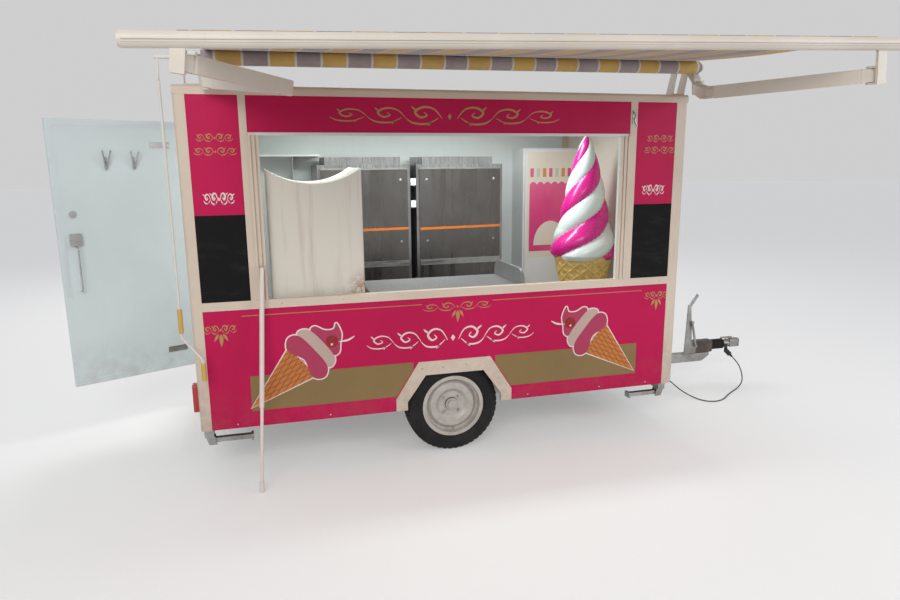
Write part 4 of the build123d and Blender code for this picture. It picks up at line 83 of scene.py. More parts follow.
# Camera: where it stands from the body's corner, and the rows of its turn as right, down and ahead
CAMERA_AT = (0.4203, -3.7617, 1.7791)
CAMERA_RIGHT = (0.963901, -0.266143, -0.007893)
CAMERA_DOWN = (-0.061019, -0.191944, -0.979507)
CAMERA_AHEAD = (0.259174, 0.944630, -0.201255)
CAMERA_LENS = 26.699
CAMERA_SENSOR = 36.0
CAMERA_SIGHT = 60

camera_data = bpy.data.cameras.new("camera")
camera_data.lens = CAMERA_LENS
camera_data.sensor_width = CAMERA_SENSOR
camera_data.sensor_fit = "HORIZONTAL"
camera_data.clip_end = CAMERA_SIGHT
camera = placed("camera", camera_data)
turn = Matrix((CAMERA_RIGHT, -Vector(CAMERA_DOWN), -Vector(CAMERA_AHEAD))).transposed()
camera.matrix_world = Matrix.Translation(at(*CAMERA_AT)) @ turn.to_4x4()
bpy.context.scene.camera = camera
bpy.context.scene.view_settings.view_transform = "Standard"


# Materials

class Graph:
    """A material's node tree with short calls for the nodes used here."""

    def __init__(self, name, roughness, metallic=0.0, **sockets):
        self.material = bpy.data.materials.new(name)
        self.material.use_nodes = True
        self.tree = self.material.node_tree
        self.shader = self.tree.nodes["Principled BSDF"]
        fill_in(self.shader, Roughness=roughness, Metallic=metallic, **sockets)
        self.place = self.add("ShaderNodeTexCoord").outputs["Object"]

    def add(self, kind, **settings):
        """A new node with its settings."""
        node = self.tree.nodes.new(kind)
        for key, value in settings.items():
            setattr(node, key, value)
        return node

    def link(self, source, target):
        self.tree.links.new(source, target)

    def scaled(self, scale):
        """The object's coordinates, stretched by three factors."""
        node = self.add("ShaderNodeVectorMath", operation="MULTIPLY")
        self.link(self.place, node.inputs[0])
        node.inputs[1].default_value = scale
        return node.outputs[0]

    def noise(self, scale, detail=4.0, vector=None, rough=0.55):
        node = self.add("ShaderNodeTexNoise")
        fill_in(node, Scale=scale, Detail=detail, Roughness=rough)
        self.link(vector or self.place, node.inputs["Vector"])
        return node.outputs["Fac"]

    def axis(self, which):
        """One of the object's coordinates: 0 along, 1 across, 2 up."""
        node = self.add("ShaderNodeSeparateXYZ")
        self.link(self.place, node.inputs[0])
        return node.outputs[which]

    def ramp(self, source, low, high, out_low=0.0, out_high=1.0):
        """A smooth step of the source between low and high."""
        node = self.add("ShaderNodeMapRange", interpolation_type="SMOOTHSTEP")
        self.link(source, node.inputs["Value"])
        fill_in(node, From_Min=low, From_Max=high, To_Min=out_low, To_Max=out_high)
        return node.outputs["Result"]

    def math(self, operation, a, b):
        """A sum or the like of two values; each is a number or a socket."""
        node = self.add("ShaderNodeMath", operation=operation)
        for socket, value in zip(node.inputs, (a, b)):
            if isinstance(value, (int, float)):
                socket.default_value = value
            else:
                self.link(value, socket)
        return node.outputs[0]

    def mix(self, share, a, b):
        """One colour or another; each is a colour or a socket."""
        node = self.add("ShaderNodeMix", data_type="RGBA")
        self.link(share, node.inputs["Factor"])
        for socket, value in ((node.inputs[6], a), (node.inputs[7], b)):
            if isinstance(value, tuple):
                socket.default_value = (*value, 1)
            else:
                self.link(value, socket)
        return node.outputs[2]

    def colour(self, source):
        self.link(source, self.shader.inputs["Base Color"])

    def rough(self, source):
        self.link(source, self.shader.inputs["Roughness"])

    def bump(self, height, strength, distance=0.001):
        node = self.add("ShaderNodeBump")
        fill_in(node, Strength=strength, Distance=distance)
        self.link(height, node.inputs["Height"])
        self.link(node.outputs[0], self.shader.inputs["Normal"])


RUN_STRETCH = (6.0, 6.0, 0.35)
DRIFT_SHARE = 0.55
DIRT_LOW = 0.25


def worn(name, base, aged, roughness=0.4, metallic=0.0, dirt=None, dirt_top=0.9, dirt_share=0.5, grain=120.0,
         bump=0.08, streaks=0.25, **sockets):
    """A coated surface: slow colour drift, run marks down it, fine grain, and dirt that climbs from below."""
    g = Graph(name, roughness, metallic, **sockets)
    drift = g.ramp(g.noise(scale=1.7, detail=5.0), 0.35, 0.68)
    runs = g.ramp(g.noise(scale=6.0, detail=5.0, vector=g.scaled(RUN_STRETCH)), 0.52, 0.74, 0.0, streaks)
    colour = g.mix(g.math("MAXIMUM", g.math("MULTIPLY", drift, DRIFT_SHARE), runs), base, aged)
    if dirt:
        climb = g.ramp(g.axis(2), DIRT_LOW, dirt_top, dirt_share, 0.0)
        patchy = g.ramp(g.noise(scale=9.0, detail=6.0, rough=0.7), 0.35, 0.7)
        colour = g.mix(g.math("MULTIPLY", climb, patchy), colour, dirt)
    g.colour(colour)
    fine = g.noise(grain, detail=3.0)
    g.rough(g.ramp(fine, 0.3, 0.7, roughness - 0.08, roughness + 0.1))
    g.bump(fine, bump)
    return g.material


def steel(name, base, aged, roughness, along=(2.0, 2.0, 160.0), rust=None, rust_share=0.0):
    """Bare or zinc-coated steel with a brushed grain along one way."""
    g = Graph(name, roughness, metallic=0.9)
    grain = g.noise(scale=3.0, vector=g.scaled(along))
    cloud = g.ramp(g.noise(scale=5.0, detail=6.0, rough=0.7), 0.35, 0.7)
    colour = g.mix(cloud, base, aged)
    if rust:
        spots = g.ramp(g.noise(scale=14.0, detail=8.0, rough=0.75), 0.62 - 0.2 * rust_share, 0.74)
        colour = g.mix(spots, colour, rust)
        g.link(g.ramp(spots, 0.0, 1.0, 0.9, 0.1), g.shader.inputs["Metallic"])
    g.colour(colour)
    g.rough(g.ramp(grain, 0.3, 0.7, roughness - 0.08, roughness + 0.14))
    g.bump(grain, 0.1)
    return g.material


EARTH = (0.30, 0.20, 0.13)
PINK_DIRT = (0.34, 0.10, 0.09)
RUBBER_DUST = (0.045, 0.040, 0.036)
RUST = (0.26, 0.11, 0.05)

# Body and films
cream = worn("cream_paint", (0.72, 0.61, 0.50), (0.60, 0.49, 0.39), 0.45, dirt=EARTH, dirt_share=0.45)
cream_skin = worn("cream_skin", (0.78, 0.72, 0.63), (0.66, 0.59, 0.50), 0.46, dirt=EARTH)
pale_skin = worn("pale_skin", (0.78, 0.83, 0.82), (0.66, 0.71, 0.70), grain=60.0)
pink = worn("pink_sheet", (0.56, 0.006, 0.085), (0.44, 0.005, 0.060), 0.5, bump=0.02, dirt=PINK_DIRT,
            dirt_top=0.62, dirt_share=0.35, streaks=0.15, Specular_IOR_Level=0.22)
gold = worn("gold_film", (0.27, 0.175, 0.060), (0.20, 0.135, 0.05), metallic=0.15, bump=0.02, dirt=EARTH,
            dirt_top=0.6, dirt_share=0.3)
gold_ink = worn("gold_ink", (0.46, 0.29, 0.09), (0.36, 0.23, 0.075), bump=0.02)
film_white = worn("white_film", (0.86, 0.72, 0.70), (0.74, 0.58, 0.56))
door_skin = worn("door_skin", (0.76, 0.84, 0.85), (0.66, 0.74, 0.75), dirt=EARTH, dirt_top=0.7,
                 dirt_share=0.35)
floor_sheet = worn("floor_sheet", (0.22, 0.21, 0.20), (0.14, 0.13, 0.12), 0.6, dirt=EARTH)
lamp_red = worn("lamp_red", (0.50, 0.012, 0.01), (0.36, 0.01, 0.01), 0.18, Coat_Weight=0.5)

# Running gear and fittings
zinc = steel("zinc_steel", (0.44, 0.44, 0.43), (0.26, 0.25, 0.24), 0.42, rust=RUST, rust_share=0.35)
zinc_sheet = steel("zinc_sheet", (0.50, 0.50, 0.50), (0.34, 0.34, 0.34), 0.38)
fitting = steel("fitting_steel", (0.62, 0.62, 0.62), (0.42, 0.42, 0.42), 0.28)
coupling_steel = steel("coupling_steel", (0.40, 0.39, 0.37), (0.22, 0.20, 0.18), 0.4, rust=RUST,
                       rust_share=0.5)
bolt_steel = steel("pin_steel", (0.55, 0.55, 0.55), (0.40, 0.40, 0.40), 0.25)
black_iron = worn("black_iron", (0.035, 0.035, 0.038), (0.08, 0.07, 0.06), 0.5, metallic=0.3, dirt=EARTH)
rubber = worn("black_rubber", (0.014, 0.014, 0.015), (0.030, 0.029, 0.028), 0.62, dirt=RUBBER_DUST,
              dirt_top=0.4, Specular_IOR_Level=0.2)
plug_black = worn("plug_black", (0.03, 0.03, 0.03), (0.06, 0.055, 0.05), 0.5)

# Awning and pole
awning_white = worn("awning_white", (0.74, 0.68, 0.60), (0.60, 0.53, 0.45), streaks=0.4)
# Grey of painted shade, for the shade inside the front bar's grooves
groove_shade_grey = worn("groove_shade_grey", (0.34, 0.31, 0.28), (0.26, 0.23, 0.20), 0.6)
pole_white = worn("pole_white", (0.84, 0.76, 0.72), (0.70, 0.60, 0.55), 0.42)
enamel = worn("crank_enamel", (0.78, 0.76, 0.72), (0.60, 0.56, 0.50))
grip_yellow = worn("yellow_grip", (0.70, 0.44, 0.10), (0.50, 0.30, 0.08), 0.5)

# Cabin
stainless = steel("stainless_steel", (0.36, 0.355, 0.35), (0.27, 0.265, 0.26), 0.3, along=(40.0, 40.0, 1.5))
door_steel = steel("door_steel", (0.170, 0.160, 0.150), (0.145, 0.136, 0.127), 0.3, along=(6.0, 6.0, 0.4))
edge_steel = steel("edge_steel", (0.46, 0.46, 0.45), (0.36, 0.36, 0.35), 0.3, along=(1.5, 30.0, 30.0))
orange_band = worn("orange_band", (0.72, 0.19, 0.02), (0.60, 0.14, 0.02), 0.35)
laminate = worn("counter_laminate", (0.20, 0.20, 0.205), (0.30, 0.29, 0.28), 0.34)
board = worn("counter_board", (0.72, 0.70, 0.66), (0.58, 0.55, 0.50), 0.5)
cabinet_white = worn("cabinet_white", (0.80, 0.82, 0.82), (0.70, 0.71, 0.70), 0.36)
swirl_white = worn("swirl_white", (0.80, 0.88, 0.86), (0.70, 0.78, 0.76), 0.25, Coat_Weight=0.4)
swirl_pink = worn("swirl_pink", (0.78, 0.015, 0.30), (0.62, 0.01, 0.22), 0.25, Coat_Weight=0.4)


def chalkboard_material():
    """Black board with wiped chalk clouds."""
    g = Graph("chalkboard", 0.7, Specular_IOR_Level=0.12)
    cloud = g.noise(scale=5.0, detail=6.0, vector=g.scaled((1.0, 1.0, 3.2)), rough=0.65)
    g.colour(g.mix(g.ramp(cloud, 0.5, 0.8, 0.0, 0.25), (0.009, 0.009, 0.010), (0.07, 0.066, 0.062)))
    g.bump(g.noise(scale=300.0, detail=2.0), 0.1)
    return g.material


RUST_REACH = 0.16
RUST_LOW, RUST_HIGH = 1.02, 1.22


def machine_material():
    """Cream enamel, stained, with rust coming through low on the panel's front end."""
    g = Graph("machine_enamel", 0.35)
    front_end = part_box("ice_cream_machine")[1][0]
    runs = g.noise(scale=4.0, detail=6.0, vector=g.scaled((4.0, 4.0, 0.3)), rough=0.6)
    base = g.mix(g.ramp(runs, 0.45, 0.75, 0.0, 0.6), (0.74, 0.70, 0.62), (0.46, 0.38, 0.30))
    near_end = g.ramp(g.axis(0), front_end - RUST_REACH, front_end)
    low_down = g.ramp(g.axis(2), RUST_LOW, RUST_HIGH, 1.0, 0.0)
    blotch = g.ramp(g.noise(scale=16.0, detail=8.0, rough=0.75), 0.42, 0.56)
    rusty = g.math("MULTIPLY", g.math("MULTIPLY", near_end, low_down), blotch)
    g.colour(g.mix(rusty, base, (0.34, 0.13, 0.05)))
    g.bump(g.noise(scale=90.0, detail=3.0), 0.06)
    return g.material


def rim_material():
    """Aged silver paint under patches of brown brake dust."""
    g = Graph("rim_paint", 0.45, metallic=0.25)
    dust = g.ramp(g.noise(scale=20.0, detail=7.0, rough=0.7), 0.38, 0.66)
    g.colour(g.mix(g.math("MULTIPLY", dust, 0.4), (0.56, 0.53, 0.49), (0.34, 0.29, 0.23)))
    g.bump(g.noise(scale=160.0, detail=3.0), 0.1)
    return g.material


# Stripes are counted along x from a place far behind the trailer
STRIPE_PITCH = 0.264
STRIPE_EDGE = 0.27
STRIPE_BLUR = 0.002
STRIPE_WHITE = 0.012
STRIPE_ORIGIN = 20.0


def cloth_material():
    """Awning cloth: yellow and mauve-grey stripes edged by thin white lines, with a plain weave."""
    g = Graph("awning_cloth", 0.85, Sheen_Weight=0.25)
    along = g.math("PINGPONG", g.math("ADD", g.axis(0), STRIPE_ORIGIN), STRIPE_PITCH / 2)
    edge = STRIPE_PITCH * STRIPE_EDGE
    edge_end = STRIPE_PITCH * (STRIPE_EDGE + STRIPE_BLUR)
    yellow = g.ramp(along, edge, edge_end)
    white = g.math("SUBTRACT", g.ramp(along, edge - STRIPE_WHITE, edge_end - STRIPE_WHITE), yellow)
    fade = g.ramp(g.noise(scale=4.0, detail=6.0, rough=0.7), 0.4, 0.75)
    grey_stripe = g.mix(fade, (0.38, 0.32, 0.33), (0.30, 0.25, 0.25))
    gold_stripe = g.mix(fade, (0.62, 0.42, 0.12), (0.48, 0.32, 0.12))
    g.colour(g.mix(white, g.mix(yellow, grey_stripe, gold_stripe), (0.66, 0.62, 0.58)))
    g.bump(g.noise(scale=900.0, detail=2.0), 0.15, distance=0.0004)
    return g.material


def waffle_material():
    """Waffle-brown plastic in two shades."""
    g = Graph("waffle_plastic", 0.45)
    brown = g.ramp(g.noise(scale=30.0), 0.4, 0.7)
    g.colour(g.mix(brown, (0.72, 0.50, 0.17), (0.58, 0.36, 0.10)))
    return g.material


cloth_stripes = cloth_material()
waffle = waffle_material()

# columns: material, the nodes that wear it
NODE_MATERIALS = (
    (cream, "posts roof_rails side_trims shutter_guides"),
    (pale_skin, "wall_serving wall_far"),
    (cream_skin, "wall_front wall_rear roof"),
    (floor_sheet, "floor"),
    (pink, "lower_panels upper_panels"),
    (chalkboard_material(), "chalkboards"),
    (lamp_red, "rear_lamps"),
    (door_skin, "door_leaf"),
    (fitting, "door_fittings"),
    (zinc_sheet, "wheel_tubs door_hinges hinge_plates"),
    (zinc, "chassis drawbar axle parking_brake jockey_clamp jockey_leg jockey_fork"),
    (zinc, "steady_rear_near steady_rear_far steady_front_near steady_front_far"),
    (rubber, "tyre_near tyre_far bellows jockey_wheel lead_cable"),
    (plug_black, "lead_plug"),
    (rim_material(), "rim_near rim_far"),
    (black_iron, "overrun_housing"),
    (coupling_steel, "coupling_head"),
    (awning_white, "awning_frame upper_arm_rear upper_arm_front forearm_rear forearm_front front_bar"),
    (cloth_stripes, "awning_roll awning_cloth"),
    (enamel, "awning_crank"),
    (pole_white, "pole_tube pole_leg"),
    (laminate, "counter_top"),
    (board, "counter_stand"),
    (machine_material(), "ice_cream_machine"),
    (stainless, "steel_cabinets"),
    (cabinet_white, "tall_cabinet wall_shelf"),
    (waffle, "display_cone"),
)
for material, names in NODE_MATERIALS:
    for name in names.split():
        mesh = nodes[name].data
        mesh.materials.clear()
        mesh.materials.append(material)


# Mesh calls

# Points nearer than this are one
SAME_PLACE = 1e-6


def piece(name, mesh, materials, body=BODY, smooth=False):
    """An object from a bmesh, its faces turned outwards, riding on its body."""
    bmesh.ops.recalc_face_normals(mesh, faces=mesh.faces)
    data = bpy.data.meshes.new(name)
    mesh.to_mesh(data)
    mesh.free()
    for material in materials:
        data.materials.append(material)
    if smooth:
        data.shade_smooth()
    thing = placed(name, data)
    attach(thing, body)
    return thing


def plate(mesh, outline, y, thick, index=0):
    """A flat plate on a side face: an outline of (x, z) from the body's corner, y its outer face."""
    front = [mesh.verts.new(at(x, y, z)) for x, z in outline]
    back = [mesh.verts.new(at(x, y + thick, z)) for x, z in outline]
    faces = [mesh.faces.new(front), mesh.faces.new(list(reversed(back)))]
    for i, vert in enumerate(front):
        after = (i + 1) % len(front)
        faces.append(mesh.faces.new((front[after], vert, back[i], back[after])))
    for face in faces:
        face.material_index = index


def slab(mesh, x1, x2, z1, z2, y, thick, index=0):
    """A plate with four square corners."""
    plate(mesh, [(x1, z1), (x2, z1), (x2, z2), (x1, z2)], y, thick, index)


def prism(mesh, first, last):
    """A closed form between two loops with as many points."""
    near, far = ([mesh.verts.new(point) for point in loop] for loop in (first, last))
    mesh.faces.new(near)
    mesh.faces.new(list(reversed(far)))
    for i in range(len(near)):
        n = (i + 1) % len(near)
        mesh.faces.new((near[i], far[i], far[n], near[n]))


def tube(mesh, rings):
    """Faces between rings and over both ends; gives the rows of faces between them."""
    count = len(rings[0])
    rows = [
        [mesh.faces.new((a[k], a[(k + 1) % count], b[(k + 1) % count], b[k])) for k in range(count)]
        for a, b in zip(rings, rings[1:])
    ]
    mesh.faces.new(rings[-1])
    mesh.faces.new(list(reversed(rings[0])))
    return rows


def circle(centre, radius, count):
    """Points around a centre on a side face."""
    angles = [2 * pi * k / count for k in range(count)]
    return [(centre[0] + radius * cos(angle), centre[1] + radius * sin(angle)) for angle in angles]


def smooth_loop(points, steps=6, closed=True):
    """Points on a Catmull-Rom curve through the given ones."""
    count = len(points)
    out = []
    for i in range(count if closed else count - 1):
        p0, p1, p2, p3 = (
            Vector(points[(i + k) % count] if closed else points[min(max(i + k, 0), count - 1)])
            for k in (-1, 0, 1, 2)
        )
        for s in range(steps):
            t = s / steps
            out.append(
                0.5 * (2 * p1 + (p2 - p0) * t + (2 * p0 - 5 * p1 + 4 * p2 - p3) * t * t
                       + (3 * p1 - p0 - 3 * p2 + p3) * t ** 3)
            )
    if not closed:
        out.append(Vector(points[-1]))
    return out


STROKE_STEPS = 8
STROKE_THIN = 0.25


def stroke(mesh, points, width, y, thick=FILM):
    """A brushed line on a side face that swells in the middle and thins to its ends."""
    path = smooth_loop(points, STROKE_STEPS, closed=False)
    last = len(path) - 1
    left, right = [], []
    for i, p in enumerate(path):
        ahead = path[min(i + 1, last)] - path[max(i - 1, 0)]
        across = Vector((-ahead.y, ahead.x)).normalized()
        half = width / 2 * (STROKE_THIN + (1 - STROKE_THIN) * sin(pi * i / last))
        left.append(p + across * half)
        right.append(p - across * half)
    for i in range(last):
        plate(mesh, [left[i], left[i + 1], right[i + 1], right[i]], y, thick)
    bmesh.ops.remove_doubles(mesh, verts=mesh.verts, dist=SAME_PLACE)


def grown(outline, amount):
    """An outline moved outwards by an amount."""
    following = outline[1:] + outline[:1]
    area = sum(a[0] * b[1] - b[0] * a[1] for a, b in zip(outline, following))
    way = 1 if area > 0 else -1
    out = []
    for i, p in enumerate(outline):
        along = (Vector(following[i]) - Vector(outline[i - 1])).normalized()
        out.append(Vector(p) + way * amount * Vector((along.y, -along.x)))
    return out


def revolved(mesh, profile, centre, axis, segments):
    """A turned form: profile of (distance along the axis, radius), closed where it meets the axis."""
    axis = Vector(axis).normalized()
    side = axis.orthogonal().normalized()
    up = axis.cross(side)
    rings = []
    for along, radius in profile:
        foot = centre + axis * along
        if radius < SAME_PLACE:
            rings.append([mesh.verts.new(foot)])
            continue
        angles = [2 * pi * k / segments for k in range(segments)]
        rings.append([mesh.verts.new(foot + radius * (side * cos(a) + up * sin(a))) for a in angles])
    for a, b in zip(rings, rings[1:]):
        for k in range(segments):
            n = (k + 1) % segments
            if len(a) == 1:
                mesh.faces.new((a[0], b[k], b[n]))
            elif len(b) == 1:
                mesh.faces.new((a[k], b[0], a[n]))
            else:
                mesh.faces.new((a[k], b[k], b[n], a[n]))


SCREW_SUNK = 0.001
SCREW_SIDES = 14


def screw(mesh, centre, axis, radius, height):
    """A domed screw head with a small recess, its foot sunk into what it holds."""
    profile = [(-SCREW_SUNK, 0), (-SCREW_SUNK, radius), (height * 0.5, radius), (height * 0.9, radius * 0.7),
               (height, radius * 0.35), (height * 0.55, radius * 0.2), (height * 0.55, 0)]
    revolved(mesh, profile, centre, axis, SCREW_SIDES)


def hexagon(mesh, centre, axis, radius, height):
    """A hexagonal head with a washer flange and a chamfered top."""
    flange = [(0, 0), (0, radius * 1.25), (height * 0.15, radius * 1.2), (height * 0.2, radius)]
    revolved(mesh, flange, centre, axis, segments=24)
    head = [(0, 0), (0, radius), (height * 0.85, radius), (height, radius * 0.82), (height, 0)]
    revolved(mesh, head, centre, axis, segments=6)


# Lighting lead, on the points of the part's own route
LEAD_DIAMETER, LEAD_LENGTH = 0.008, 1.39
LEAD_ROUTE = (
    (3.330, 0.794, 0.190),
    (3.336, 0.730, 0.180),
    (3.360, 0.655, 0.140),
    (3.400, 0.580, 0.085),
    (3.445, 0.505, 0.035),
    (3.490, 0.435, 0.009),
    (3.520, 0.345, 0.005),
    (3.600, 0.300, 0.005),
    (3.695, 0.330, 0.005),
    (3.780, 0.400, 0.005),
    (3.870, 0.460, 0.005),
    (3.960, 0.510, 0.009),
    (4.040, 0.560, 0.038),
    (4.085, 0.630, 0.090),
    (4.098, 0.702, 0.150),
    (4.078, 0.757, 0.190),
)
lead_data = bpy.data.curves.new("lighting_lead", "CURVE")
lead_data.dimensions = "3D"
lead_data.bevel_depth = LEAD_DIAMETER / 2
lead_data.bevel_resolution = 6
lead_data.use_fill_caps = True
lead_data.resolution_u = 10
spline = lead_data.splines.new("NURBS")
spline.points.add(len(LEAD_ROUTE) - 1)
for point, place in zip(spline.points, LEAD_ROUTE):
    point.co = (*at(*place), 1)
spline.order_u = 3
spline.use_endpoint_u = True
lead_data.materials.append(rubber)
lead = placed("lighting_lead", lead_data)
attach(lead, BODY)
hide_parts("lead_cable")

# Films on the lower panel: a gold band each side of the arch
BAND_REAR = [(0.283, 0.405), (1.116, 0.405), (1.222, 0.566), (1.222, 0.610), (0.283, 0.610)]
BAND_FRONT = [(1.846, 0.405), (2.720, 0.405), (2.720, 0.610), (1.740, 0.610), (1.740, 0.566)]
band = bmesh.new()
plate(band, BAND_REAR, PRINT_Y, FILM)
plate(band, BAND_FRONT, PRINT_Y, FILM)
piece("gold_band", band, [gold])

# Films of an ice cream cone at each end, drawn upright from the cone's tip and then leaned
# columns: end, tip on the panel, way it leans
CONES = (("rear", (0.281, 0.424), 1), ("front", (2.706, 0.426), -1))
CONE_LEAN = 50
CONE_HALF, CONE_TALL = 0.116, 0.385
CONE_EDGE = [(0, 0), (CONE_HALF, CONE_TALL), (-CONE_HALF, CONE_TALL)]
SCOOP_LOW = [(-0.135, 0.385), (-0.158, 0.43), (-0.12, 0.475), (0.0, 0.48), (0.11, 0.47), (0.155, 0.425),
             (0.14, 0.38), (0.09, 0.365), (0.0, 0.40), (-0.09, 0.37)]
SCOOP_MID = [(-0.13, 0.47), (-0.142, 0.505), (-0.10, 0.54), (0.0, 0.545), (0.10, 0.535), (0.135, 0.50),
             (0.12, 0.465), (0.0, 0.47)]
SCOOP_TOP = [(-0.10, 0.54), (-0.105, 0.575), (-0.05, 0.60), (-0.02, 0.64), (-0.035, 0.675), (0.03, 0.655),
             (0.07, 0.61), (0.105, 0.57), (0.09, 0.535), (0.0, 0.545)]
OUTLINE_CONE, OUTLINE_SCOOP = 0.010, 0.008
GRID_LINES = 7
GRID_HALF = 0.0022
CHERRY_AT, CHERRY_RADIUS = (0.028, 0.585), 0.036
GLINT_AT, GLINT_RADIUS = (0.040, 0.572), 0.007
STEM = [(0.055, 0.61), (0.085, 0.655), (0.095, 0.70)]
STEM_WIDTH = 0.012
CONE_INKS = [
    film_white,
    worn("film_waffle", (0.62, 0.20, 0.03), (0.50, 0.15, 0.03)),
    worn("film_grid", (0.30, 0.09, 0.02), (0.25, 0.08, 0.02)),
    worn("film_rose", (0.45, 0.03, 0.10), (0.38, 0.03, 0.09)),
    worn("film_cream", (0.56, 0.42, 0.36), (0.48, 0.34, 0.29)),
    worn("film_cherry", (0.32, 0.003, 0.006), (0.26, 0.003, 0.006), 0.3),
]
WHITE, WAFFLE, GRID, ROSE, CREAM, CHERRY = range(len(CONE_INKS))


def on_panel(points, tip, way):
    """The cone's own points as places on the panel."""
    lean = radians(CONE_LEAN)
    return [
        (tip[0] + way * (u * cos(lean) + v * sin(lean)), tip[1] - u * sin(lean) + v * cos(lean))
        for u, v in points
    ]


def cone_film(end_name, tip, way):
    """The printed cone: white outlines, then the waffle with its grid, three scoops and a cherry."""
    art = bmesh.new()
    layers = [
        (grown(CONE_EDGE, OUTLINE_CONE), WHITE),
        (grown(smooth_loop(SCOOP_LOW), OUTLINE_SCOOP), WHITE),
        (grown(smooth_loop(SCOOP_MID), OUTLINE_SCOOP), WHITE),
        (grown(smooth_loop(SCOOP_TOP), OUTLINE_SCOOP), WHITE),
        (CONE_EDGE, WAFFLE),
        (smooth_loop(SCOOP_TOP), ROSE),
        (smooth_loop(SCOOP_MID), CREAM),
        (smooth_loop(SCOOP_LOW), ROSE),
    ]
    depth = PRINT_Y
    for points, ink in layers:
        depth -= FILM / 2
        plate(art, on_panel(points, tip, way), depth, FILM / 2, ink)
    across = Vector((GRID_HALF, 0))
    for k in range(1, GRID_LINES + 1):
        share = k / (GRID_LINES + 1)
        for side in (-1, 1):
            corner = Vector((-side * CONE_HALF, CONE_TALL))
            foot = Vector((0, 0)).lerp(corner, share)
            head = Vector((side * CONE_HALF, CONE_TALL)).lerp(corner, share)
            quad = [foot - across, foot + across, head + across, head - across]
            grid_y = depth - FILM / 4 - (side + 1) * FILM / 16
            plate(art, on_panel(quad, tip, way), grid_y, FILM / 8, GRID)
    cherry = circle(CHERRY_AT, CHERRY_RADIUS, 24)
    glint = circle(GLINT_AT, GLINT_RADIUS, 12)
    plate(art, on_panel(cherry, tip, way), depth - FILM / 2, FILM / 2, CHERRY)
    plate(art, on_panel(glint, tip, way), depth - FILM, FILM / 2, WHITE)
    stroke(art, on_panel(STEM, tip, way), STEM_WIDTH, depth - FILM, FILM / 2)
    piece(f"cone_film_{end_name}", art, CONE_INKS)


for end_name, tip, way in CONES:
    cone_film(end_name, tip, way)

# Plain ornaments in place of painted words, in shares of a curl's own length and height
LEAF = [(0.0, 0.0), (0.3, 0.17), (0.6, 0.14), (1.0, 0.0), (0.6, -0.10), (0.3, -0.13)]
CURL = [(0.0, -0.2), (0.22, 0.75), (0.52, 0.95), (0.74, 0.45), (0.60, -0.10), (0.42, 0.10), (0.50, 0.42)]
TAIL = [(0.10, -0.15), (0.40, -0.75), (0.78, -0.70), (1.0, -0.2)]
TAIL_WIDTH = 0.8
CURL_GAP = 0.035
CURL_SHRINK = 0.16
DIAMOND_HALF = 0.16
DIAMOND_SLIM = 0.7
# columns: place along and up, turn, way the turn runs, size
CURL_LEAVES = ((0.72, 0.62, 90, -50, 0.34), (0.30, -0.55, -90, 40, 0.30))


def leaf(mesh, foot, turn, size):
    """A pointed leaf from its foot, turned by degrees from the x axis."""
    ahead = Vector((cos(radians(turn)), sin(radians(turn))))
    across = Vector((-ahead.y, ahead.x))
    plate(mesh, [Vector(foot) + ahead * u * size + across * v * size for u, v in LEAF], PRINT_Y, FILM)


def scroll(mesh, centre, length, height, width, curls):
    """A wide ornament: curls that run out both ways, each with leaves, about a small diamond."""
    cx, cz = centre
    step = length / 2 / curls
    for way in (1, -1):
        for k in range(curls):
            start = cx + way * (length * CURL_GAP + k * step)
            size = 1 - CURL_SHRINK * k
            lift = height / 2 * size
            for line, share in ((CURL, 1.0), (TAIL, TAIL_WIDTH)):
                points = [(start + way * u * step, cz + v * lift) for u, v in line]
                stroke(mesh, points, width * size * share, PRINT_Y)
            for u, v, turn, run, share in CURL_LEAVES:
                foot = (start + way * u * step, cz + v * lift)
                leaf(mesh, foot, turn + way * run, share * height * size)
    half = height * DIAMOND_HALF
    slim = half * DIAMOND_SLIM
    plate(mesh, [(cx - slim, cz), (cx, cz - half), (cx + slim, cz), (cx, cz + half)], PRINT_Y, FILM)


# columns of each table: centre, length, height, line width, curls each way
CENTRE_SCROLL = ((1.47, 0.745), 0.98, 0.125, 0.013, 3)
GOLD_SCROLLS = (
    ((1.46, 2.035), 1.26, 0.105, 0.013, 3),
    ((0.19, 1.915), 0.17, 0.042, 0.006, 2),
    ((0.19, 1.845), 0.20, 0.042, 0.006, 2),
    ((2.815, 1.915), 0.17, 0.042, 0.006, 2),
    ((2.815, 1.845), 0.20, 0.042, 0.006, 2),
)
DROP_SCROLLS = (
    ((0.145, 0.89), 0.16, 0.05, 0.007, 2),
    ((2.85, 0.92), 0.16, 0.05, 0.007, 2),
    ((1.50, 0.935), 0.40, 0.05, 0.007, 2),
)
BOARD_SCROLLS = (
    ((0.19, 1.60), 0.145, 0.065, 0.009, 2),
    ((2.785, 1.60), 0.145, 0.065, 0.009, 2),
)
# columns: place along from the scroll's centre, turn, size
DROP_LEAVES = ((0.0, -90, 0.075), (0.012, -60, 0.05), (-0.012, -120, 0.05))
DROP_UNDER = 0.022
RULED = ((0.26, 1.28), (1.72, 2.74))
RULE_LOW, RULE_HIGH = 0.958, 0.962

art = bmesh.new()
scroll(art, *CENTRE_SCROLL)
piece("centre_flourish", art, [film_white])

art = bmesh.new()
for sizes in GOLD_SCROLLS:
    scroll(art, *sizes)
for sizes in DROP_SCROLLS:
    scroll(art, *sizes)
    x, z = sizes[0]
    for aside, turn, size in DROP_LEAVES:
        leaf(art, (x + aside, z - DROP_UNDER), turn, size)
for x1, x2 in RULED:
    slab(art, x1, x2, RULE_LOW, RULE_HIGH, PRINT_Y, FILM)
piece("gold_flourishes", art, [gold_ink])

art = bmesh.new()
for sizes in BOARD_SCROLLS:
    scroll(art, *sizes)
piece("white_flourishes", art, [film_white])

